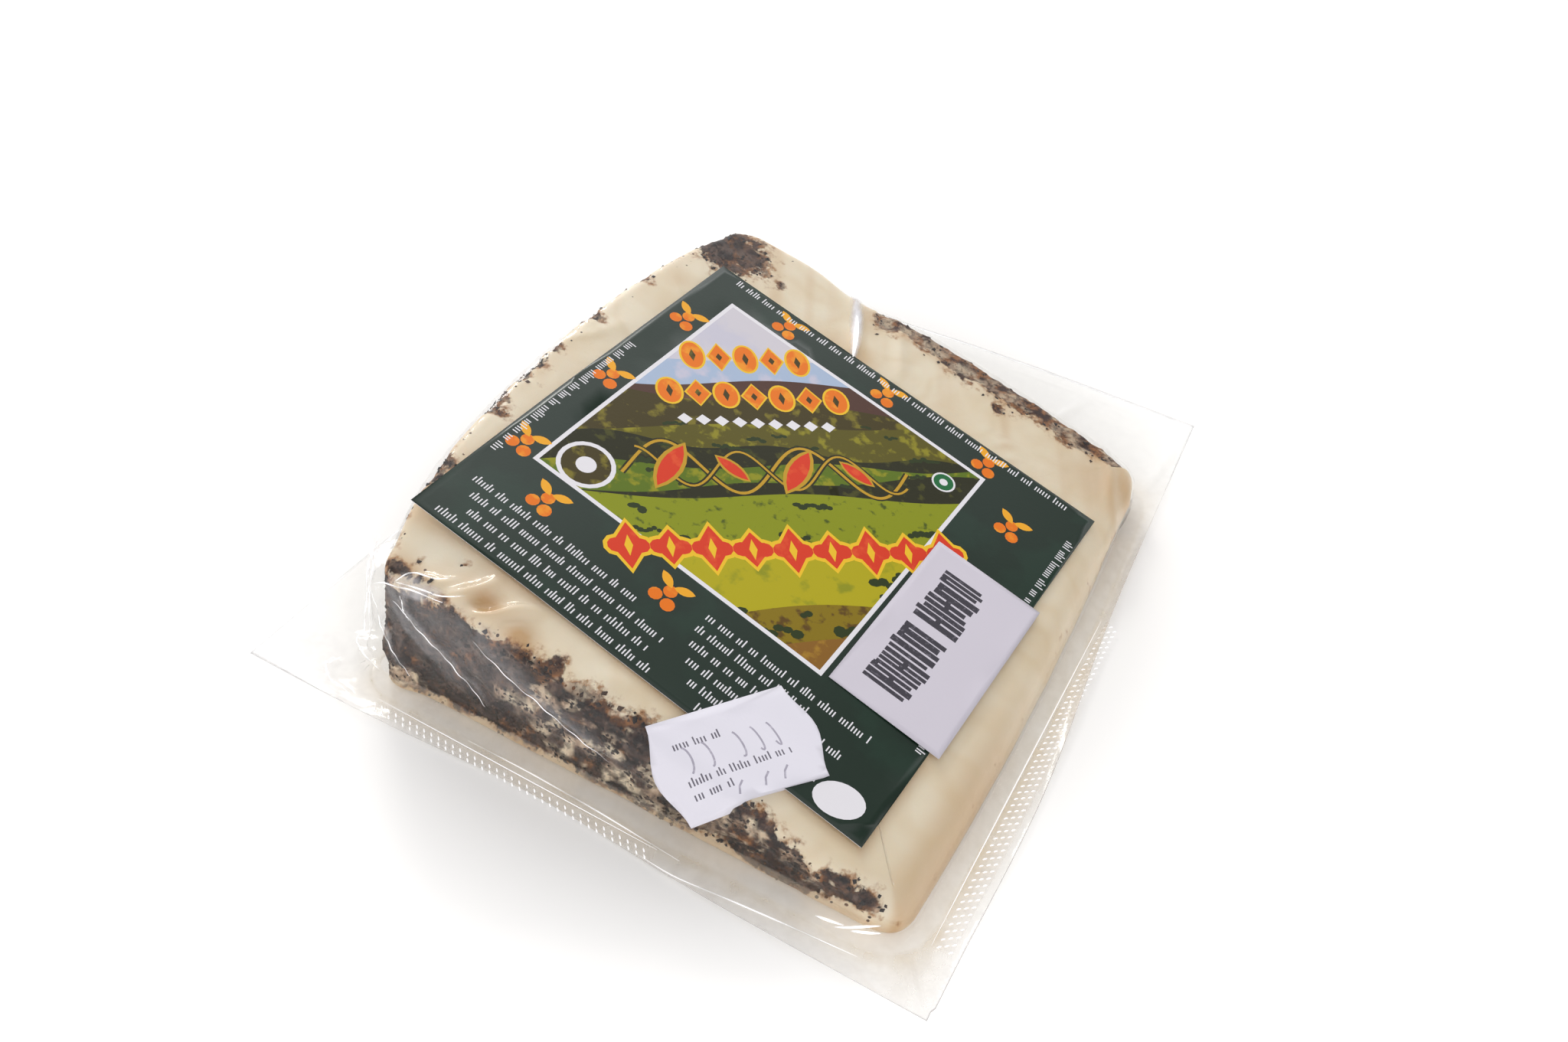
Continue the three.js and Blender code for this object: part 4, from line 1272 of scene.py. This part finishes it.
def bar(middle, length, height, turn=0.0, end=6):
    """A bar with round ends."""
    radius, half = height / 2, (length - height) / 2
    right = [(half + radius * math.sin(a), -radius * math.cos(a))
             for a in np.linspace(0, math.pi, end)]
    left = [(-a, -b) for a, b in right]
    return turned(right + left, middle, turn)


def box(low, high):
    return [(low[0], low[1]), (high[0], low[1]), (high[0], high[1]), (low[0], high[1])]


def leaf(middle, length, width, turn):
    half = [(length * (share - 0.5), width / 2 * math.sin(math.pi * share) ** 0.8)
            for share in np.linspace(0, 1, 7)]
    return turned(half + [(a, -b) for a, b in half[-2:0:-1]], middle, turn)


def lozenge(middle, width, height):
    p, q = middle
    return [(p - width / 2, q), (p, q - height / 2), (p + width / 2, q), (p, q + height / 2)]


def ribbon(path, width):
    """A line of even width along a path, as one outline."""
    path = np.array(path, float)
    ways = np.gradient(path, axis=0)
    ways /= np.linalg.norm(ways, axis=1)[:, None]
    side = np.stack([-ways[:, 1], ways[:, 0]], 1) * width / 2
    return [tuple(point) for point in np.vstack([path + side, (path - side)[::-1]])]


def print_line(start, turn, length, height=1.15, weight=0.24):
    """A run of fine print, as upright strokes in word-long groups that spell nothing."""
    strokes, run = [], 0.0
    while run < length:
        for _ in range(random.randint(3, 8)):
            tall = height * random.choice((1.0, 1.0, 1.0, 1.45))
            middle = (run, tall / 2 - height / 2)
            strokes.append(turned(box((middle[0] - weight / 2, middle[1] - tall / 2),
                                      (middle[0] + weight / 2, middle[1] + tall / 2)), start, turn))
            run += random.uniform(0.5, 0.66)
            if run > length:
                break
        run += 0.75
    return strokes


def anticlockwise(outline):
    points = np.array(outline, float)
    after = np.roll(points, -1, 0)
    twice_area = np.sum(points[:, 0] * after[:, 1] - after[:, 0] * points[:, 1])
    return outline if twice_area > 0 else outline[::-1]


def printed_paper(name, outline, shapes, place, inks, cell):
    """A thin sheet of paper, cut into faces along the edges of its printed shapes. Each shape is
    an ink's name, an outline and the outline that it is kept inside, or None. Later shapes
    lie over earlier ones. The last ink is the paper's own."""
    outlines = [outline]
    painted = []
    for ink, shape, keep in shapes:
        if keep is not None and keep not in outlines:
            outlines.append(keep)
        outlines.append(shape)
        painted.append((len(outlines) - 1, ink, outlines.index(keep) if keep else 0))
    low, high = np.min(outline, 0), np.max(outline, 0)
    verts, faces = [], []
    for shape in outlines:
        faces.append(list(range(len(verts), len(verts) + len(shape))))
        verts += [Vector(point) for point in anticlockwise(shape)]
    for a in np.arange(low[0] + cell / 2, high[0], cell):
        for b in np.arange(low[1] + cell / 2, high[1], cell):
            verts.append(Vector((a, b)))
    flat_points, _, cells, _, _, holders = delaunay_2d_cdt(verts, [], faces, 1, 1e-4)
    names = list(inks)
    indices, kept = [], []
    for cell_points, held in zip(cells, holders):
        if 0 not in held:
            continue
        ink = names[0]
        for number, shape_ink, keep in painted:
            if number in held and keep in held:
                ink = shape_ink
        indices.append(names.index(ink))
        kept.append(cell_points)
    used = sorted({point for cell_points in kept for point in cell_points})
    number_of = {point: number for number, point in enumerate(used)}
    points = [place(flat_points[point].x, flat_points[point].y) for point in used]
    kept = [[number_of[point] for point in cell_points] for cell_points in kept]
    piece = mesh_piece(name, points, kept, [inks[ink] for ink in names], face_materials=indices)
    thick = piece.modifiers.new("paper_thickness", "SOLIDIFY")
    thick.thickness = PAPER_THICKNESS / 1000
    thick.offset = -1
    thick.material_offset = thick.material_offset_rim = len(names)
    return piece


# The label's picture and titles lie along its diagonal, p to the right and q up from its middle
PICTURE_SIDE = 59.5
PICTURE_INSET = 8.4
KEYLINE = 0.8


def diagonal(points):
    root = math.sqrt(2)
    return [((p - q) / root, (p + q) / root) for p, q in points]


def wavy_field(height, slope, swell, wave, phase):
    """Everything below a wavy line across the picture."""
    line = [(p, height + slope * p + swell * math.sin(p / wave + phase)) for p in range(-46, 47, 2)]
    return diagonal([(-46, -60)] + line + [(46, -60)])


FIELDS = [
    ("sky_blue", 37.0, 0.02, 0.6, 11, 0.0), ("heather_brown", 31.0, 0.05, 1.1, 8, 1.0),
    ("hill_olive", 26.5, -0.04, 1.0, 7, 0.4), ("field_olive", 20.0, 0.07, 0.8, 9, 2.2),
    ("hedge_shade", 14.5, -0.05, 1.1, 5, 1.2), ("meadow_green", 10.5, 0.03, 0.9, 7, 0.2),
    ("hedge_shade", 6.2, 0.09, 0.7, 6, 2.5), ("meadow_lime", 3.4, 0.02, 0.8, 8, 0.9),
    ("meadow_yellow", -8.0, -0.03, 0.9, 9, 2.0), ("straw_ochre", -20.5, 0.06, 0.8, 7, 1.4),
    ("earth_brown", -27.0, 0.03, 0.6, 6, 0.3),
]


def picture_shapes(low, high):
    """Fields and hills under a pale sky in a thin white frame. Trees stand in clumps and rows,
    larger towards the bottom."""
    picture = box((low, -high), (high, -low))
    framed = box((low - KEYLINE, -high - KEYLINE), (high + KEYLINE, -low + KEYLINE))
    shapes = [("print_white", framed, None), ("sky_lavender", picture, None)]
    for ink, height, slope, swell, wave, phase in FIELDS:
        shapes.append((ink, wavy_field(height, slope, swell, wave, phase), picture))
    for _ in range(46):
        q = random.uniform(-26, 24)
        p = random.uniform(-36, 36)
        size = random.uniform(0.5, 1.1) * (1.5 - q / 50)
        for step in range(random.randint(2, 7)):
            spot = (p + step * size * 0.9, q + random.uniform(-0.4, 0.4) * size)
            crown = oval(spot, size * random.uniform(1.1, 1.7), size * random.uniform(0.8, 1.3), 0, 8)
            shapes.append(("hedge_green", diagonal(crown), picture))
    return shapes


def title_shapes():
    """Two titles as rows of beads and lozenges, and a third line of small lozenges."""
    shapes = []
    for count, pitch, q, height in ((5, 5.3, 37.6, 6.6), (7, 5.5, 27.8, 6.0)):
        row = [(pitch * (k - (count - 1) / 2), q) for k in range(count)]
        for grow, ink in ((0.9, "print_yellow"), (0.0, "print_orange")):
            for k, middle in enumerate(row):
                wide, tall = (pitch * 0.82 + grow, height + grow)
                shape = oval(middle, wide, tall) if k % 2 == 0 else lozenge(middle, wide, tall)
                shapes.append((ink, shape))
        for k, middle in enumerate(row):
            shapes.append(("hill_olive", lozenge(middle, 1.3, 3.2 - 1.2 * (k % 2))))
    for k in range(9):
        shapes.append(("print_white", lozenge((3.5 * (k - 4) - 0.6, 21.0), 2.9, 2.6)))
    return shapes


def scroll_shapes():
    """Two crossing gold lines edged in dark olive, with red leaves edged in gold."""
    shapes = []
    scroll = [(p, 9.6 + 5.6 * math.sin(p / 4.2)) for p in np.arange(-28, 27.5, 0.75)]
    counter = [(p, 9.4 - 4.2 * math.sin(p / 3.1 + 0.3)) for p in np.arange(-25, 26.5, 0.75)]
    for path, width in ((scroll, 0.6), (counter, 0.45)):
        shapes.append(("hedge_shade", ribbon(path, width + 0.7)))
        shapes.append(("print_gold", ribbon(path, width)))
    for p, size, turn in ((-19, 1.25, 1.0), (-7.5, 0.8, -0.8), (5.0, 1.25, 1.0), (16.5, 0.8, -0.8)):
        shapes.append(("print_gold", leaf((p, 9.6), 10.4 * size, 4.0 * size, turn)))
        shapes.append(("print_red", leaf((p, 9.6), 9.0 * size, 2.8 * size, turn)))
    return shapes


def band_shapes():
    """A red band of joined lozenges edged in yellow, each with a yellow heart."""
    shapes = []
    band = [(7.3 * (k - 4) + 0.4, -8.3) for k in range(9)]
    for grow, ink in ((1.5, "print_yellow"), (0.0, "print_red")):
        for k, middle in enumerate(band):
            tall = 9.6 if k % 2 == 0 else 7.4
            shapes.append((ink, lozenge(middle, 6.0 + grow, tall + grow * 1.3)))
            shapes.append((ink, bar(middle, 7.4 + grow, 3.0 + grow)))
    for middle in band:
        shapes.append(("print_yellow", lozenge(middle, 1.5, 4.4)))
    return shapes


def mark_shapes():
    """Two ringed discs and a plain oval."""
    shapes = []
    for middle, size, ring_ink in (((-34.1, 8.7), 10.5, "hill_olive"), ((34.0, 8.6), 4.8, "mark_green")):
        for ink, share in (("print_white", 1.0), (ring_ink, 0.84), ("print_white", 0.35)):
            shapes.append((ink, oval(middle, size * share, size * share)))
    shapes.append(("print_white", oval((-1.8, -55.6), 8.8, 6.4, -0.35)))
    return shapes


def sprig_shapes(border):
    """Peppercorn sprigs, evenly spaced round the border, each of three berries and two leaves."""
    shapes = []
    sprigs = [(-border, 26), (-border, 2), (-border, -22), (-26, border), (-2, border), (22, border)]
    sprigs += [(-30, -29.5), (-4, -29.5), (33, 30), (33, 5)]
    for middle in sprigs:
        for (a, b), size in (((-1.5, -1.2), 2.5), ((1.3, -1.6), 2.6), ((0.1, 0.9), 2.5)):
            berry = oval((middle[0] + a, middle[1] + b), size, size, 0, 12)
            shapes.append(("print_orange", berry, None))
        for turn in (0.35, 2.6):
            a = middle[0] + 2.0 * math.cos(turn)
            shapes.append(("print_amber", leaf((a, middle[1] + 2.6), 3.8, 1.7, turn), None))
    return shapes


# Fine print of the label: where a line starts, its length and its turn. The last two lines run
# down its sides
FINE_PRINT = [
    ((-41.0, -34.2), 34, 0.0), ((-39.0, -37.2), 40, 0.0), ((-37.0, -40.2), 37, 0.0),
    ((-41.0, -43.2), 44, 0.0), ((3.5, -28.2), 33, 0.0), ((3.5, -31.2), 22, 0.0),
    ((4.5, -34.2), 30, 0.0), ((6.0, -37.2), 26, 0.0), ((8.5, -40.2), 25, 0.0),
    ((12.0, -43.2), 12, 0.0), ((28.0, 15.6), 13, 0.0), ((28.0, 12.8), 12, 0.0),
    ((-40.0, 43.3), 80, 0.0), ((-43.4, 12.0), 40, -math.pi / 2), ((43.4, 36.0), 60, -math.pi / 2),
]


def label_shapes():
    """The label's print, from its lowest layer up. The middle layers lie along its diagonal."""
    half = LABEL_SIDE / 2
    low = -half + PICTURE_INSET
    shapes = picture_shapes(low, low + PICTURE_SIDE)
    for ink, shape in title_shapes() + scroll_shapes() + band_shapes() + mark_shapes():
        shapes.append((ink, diagonal(shape), None))
    shapes += sprig_shapes(half - PICTURE_INSET / 2)
    for start, length, turn in FINE_PRINT:
        shapes += [("print_white", stroke, None) for stroke in print_line(start, turn, length)]
    return shapes


def front_label():
    half = LABEL_SIDE / 2
    inks = {
        "label_green": ink_material("green_printed_paper", "#12281B", "#163022", 14.0, 0.5, 0.33, 0.5),
        "print_white": ink_material("white_print", "#EDEAEE"),
        "print_yellow": ink_material("yellow_print", "#F3C42C"),
        "print_orange": ink_material("orange_print", "#EE7A1B", "#F59A28", 3.0, 0.5),
        "print_amber": ink_material("amber_print", "#F6AE2B"),
        "print_red": ink_material("red_print", "#DD3E22", "#E5542C", 3.0, 0.4),
        "print_gold": ink_material("gold_print", "#C79B2A"),
        "mark_green": ink_material("green_mark_print", "#1F6B3B"),
        "sky_lavender": ink_material("lavender_field_print", "#D6D1D8", "#CFCCD9", 9.0, 0.5),
        "sky_blue": ink_material("pale_blue_field_print", "#AEBFD8", "#CBC9DA", 6.0, 0.5),
        "heather_brown": ink_material("heather_field_print", "#55392F", "#6C4E3A", 4.0, 0.4),
        "hill_olive": ink_material("olive_hill_print", "#463C16", "#7E7324", 3.2, 0.45),
        "field_olive": ink_material("olive_field_print", "#5E5716", "#928A22", 2.6, 0.5),
        "hedge_shade": ink_material("dark_olive_print", "#2A2A12", "#4A4A1A", 2.2, 0.4),
        "meadow_green": ink_material("green_field_print", "#5E7416", "#93921C", 2.6, 0.5),
        "meadow_lime": ink_material("lime_field_print", "#8C9416", "#4C5A16", 2.0, 0.3),
        "meadow_yellow": ink_material("yellow_field_print", "#B6AA16", "#93941A", 4.5, 0.45),
        "straw_ochre": ink_material("ochre_field_print", "#8A7412", "#604616", 2.2, 0.5),
        "earth_brown": ink_material("brown_field_print", "#8C6224", "#A87E2A", 2.6, 0.4),
        "hedge_green": ink_material("dark_green_print", "#2E3A17"),
        "bare_paper": ink_material("white_label_paper", "#E6E2E6", roughness=0.6, coat=0.0),
    }
    outline = box((-half, -half), (half, half))
    return printed_paper("printed_front_label", outline, label_shapes(), label_place, inks, 3.0)


def sticker_inks(name, ground):
    return {
        "sticker_white": ink_material(name, ground, roughness=0.55, coat=0.0),
        "thermal_grey": ink_material("dark_grey_print", "#45424A", "#6A6670", 0.7, 0.35, 0.6, 0.0),
        "faint_grey": ink_material("faint_grey_print", "#AFAAB8", "#C4BFCC", 0.8, 0.5, 0.6, 0.0),
        "mid_grey": ink_material("mid_grey_print", "#6F6B76", "#8E8A95", 0.5, 0.4, 0.6, 0.0),
        "bare_paper": ink_material("white_sticker_edge", "#E4E0E8", roughness=0.65, coat=0.0),
    }


def flavour_sticker(inks):
    """A block of tall worn strokes across the sticker, in two groups."""
    width, length = FLAVOUR_SIZE
    shapes = []
    for low, high in ((-15.0, 0.4), (2.2, 15.0)):
        place = low
        while place < high:
            thick = random.choice((0.8, 1.0, 1.3))
            left = -6.8 + random.choice((0.0, 0.0, 0.5, -0.4))
            right = 1.6 + random.choice((0.0, 0.0, -0.7, 0.5))
            shapes.append(("thermal_grey", box((left, place), (right, place + thick)), None))
            if random.random() < 0.6:
                middle = random.choice((left + 0.6, (left + right) / 2, right - 0.6))
                rung = box((middle - 0.5, place), (middle + 0.5, place + thick + 0.5))
                shapes.append(("thermal_grey", rung, None))
            place += thick + random.choice((0.22, 0.3, 0.4))
    outline = box((-width / 2, -length / 2), (width / 2, length / 2))
    return printed_paper("flavour_sticker_paper", outline, shapes, flavour_place, inks, 2.2)


def lot_sticker(inks):
    """Two rows of fine print and a few large faint strokes."""
    length, width = LOT_SIZE

    def end(side, shares):
        return [(side * (length / 2 + LOT_END_BUMP * math.sin(math.pi * v) ** 2), (v - 0.5) * width)
                for v in shares]

    outline = end(1, np.linspace(0, 1, 13)) + end(-1, np.linspace(1, 0, 13))
    shapes = []
    for start, run in (((-9.5, 3.6), 8.0), ((-9.5, -2.4), 18.0), ((-9.5, -4.6), 6.5)):
        for stroke in print_line(start, 0.0, run, 0.95, 0.26):
            shapes.append(("mid_grey", stroke, None))
    for k, a in enumerate((-8.6, -5.2, 0.2, 3.4, 6.4)):
        arc = [(a + 1.0 * math.sin(t), 1.1 + 2.2 * math.cos(t * (1.0 + 0.1 * k)))
               for t in np.linspace(0.2, 2.9, 12)]
        shapes.append(("faint_grey", ribbon(arc, 0.34), None))
    for a in (-3.0, 1.6, 5.0):
        shapes.append(("faint_grey", ribbon([(a, -6.6), (a + 0.5, -5.4), (a + 1.4, -4.6)], 0.34), None))
    return printed_paper("lot_sticker_paper", outline, shapes, lot_place, inks, 1.6)


# Stage, light and camera

CAMERA_PLACE = (125.69, -113.31, 191.87)
CAMERA_WAY = (-0.31261, 0.66149, -0.68169)
CAMERA_ROLL = math.radians(5.6)
CAMERA_LENS = 32.8

WINDOW_WAY = (-0.60, 0.58, 0.55)
FRONT_WAY = (0.35, -0.55, 0.76)
ROOM_LIGHT = 0.29
PANE_SIZE = 0.16
PANE_WATTS = 1.25
PANE_DISTANCE = 0.8
PANE_AIM = (45, 60, 10)


def studio():
    floor = mesh_piece("studio_floor", [(-1600, -1600, 0), (1700, -1600, 0), (1700, 1700, 0),
                                        (-1600, 1700, 0)], [[0, 1, 2, 3]], [floor_material()])
    floor.data.transform(Matrix.Translation((0, 0, -0.00002)))

    # A white room, brighter towards a wide window behind the heel, in front and near the floor
    world = bpy.data.worlds.new("white_studio")
    world.use_nodes = True
    tree = world.node_tree
    way = add(tree, "TexCoord").outputs["Generated"]
    light = ROOM_LIGHT
    for toward, low, high, glow in ((WINDOW_WAY, 0.55, 0.95, 1.15), (FRONT_WAY, 0.45, 1.0, 0.8),
                                    ((0, 0, -1), -0.4, 0.0, 0.65)):
        turn = add(tree, "VectorMath", {0: way, 1: toward}, operation="DOT_PRODUCT")
        share = add(tree, "MapRange", {"Value": turn, "From Min": low, "From Max": high, "To Max": glow},
                    interpolation_type="SMOOTHSTEP")
        light = add(tree, "Math", {0: share, 1: light})
    ground = tree.nodes["Background"]
    ground.inputs["Color"].default_value = linear("#FDFDFF")
    tree.links.new(light.outputs[0], ground.inputs["Strength"])
    bpy.context.scene.world = world

    aim = Vector(to_row(PANE_AIM))
    lamp = bpy.data.lights.new("window_pane", "AREA")
    lamp.size = PANE_SIZE
    lamp.energy = PANE_WATTS
    lamp.color = linear("#FFFDF8")[:3]
    pane = bpy.data.objects.new("window_pane", lamp)
    pane.location = aim + Vector(WINDOW_WAY).normalized() * PANE_DISTANCE
    pane.rotation_euler = (aim - pane.location).to_track_quat("-Z", "Y").to_euler()
    bpy.context.scene.collection.objects.link(pane)


def camera():
    lens = bpy.data.cameras.new("photo_view")
    lens.lens = CAMERA_LENS
    lens.sensor_width = 36
    lens.clip_start = 0.01
    view = bpy.data.objects.new("photo_view", lens)
    level = Vector(CAMERA_WAY).to_track_quat("-Z", "Y").to_matrix()
    turn = level @ Matrix.Rotation(CAMERA_ROLL, 3, "Z")
    view.matrix_world = Matrix.Translation(Vector(to_row(CAMERA_PLACE))) @ turn.to_4x4()
    bpy.context.scene.collection.objects.link(view)
    bpy.context.scene.camera = view


camera()
studio()
bpy.context.scene.view_settings.view_transform = "Standard"

cheese, cheese_points, cheese_rind, cheese_faces = cheese_wedge()
grains = pepper_grains(cheese_points, cheese_rind, cheese_faces)
clear_film = film_material("clear_vacuum_film_laminate")
# Film for the creases, glints and seal ribs: its milky share glows as painted glints
crease_film_painted_glints = film_material("folded_film_edge_painted_glints", 0.05, 0.2, 0.45)
film = vacuum_film(clear_film)
creases = film_creases(crease_film_painted_glints)
knurls = seal_knurls(crease_film_painted_glints)
label = front_label()
flavour = flavour_sticker(sticker_inks("lavender_white_sticker_paper", "#D8D2DC"))
lot = lot_sticker(sticker_inks("cool_white_sticker_paper", "#EDEAF3"))

for piece in (cheese, grains, film, creases, knurls):
    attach(piece, "root")
    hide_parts("sealed_cheese_pouch")
for piece, node, slot in ((label, "front_label", "label_paper"),
                          (flavour, "flavour_sticker", "sticker_paper"),
                          (lot, "lot_sticker", "sticker_paper")):
    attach(piece, "root")
    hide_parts(node)

bpy.context.view_layer.update()
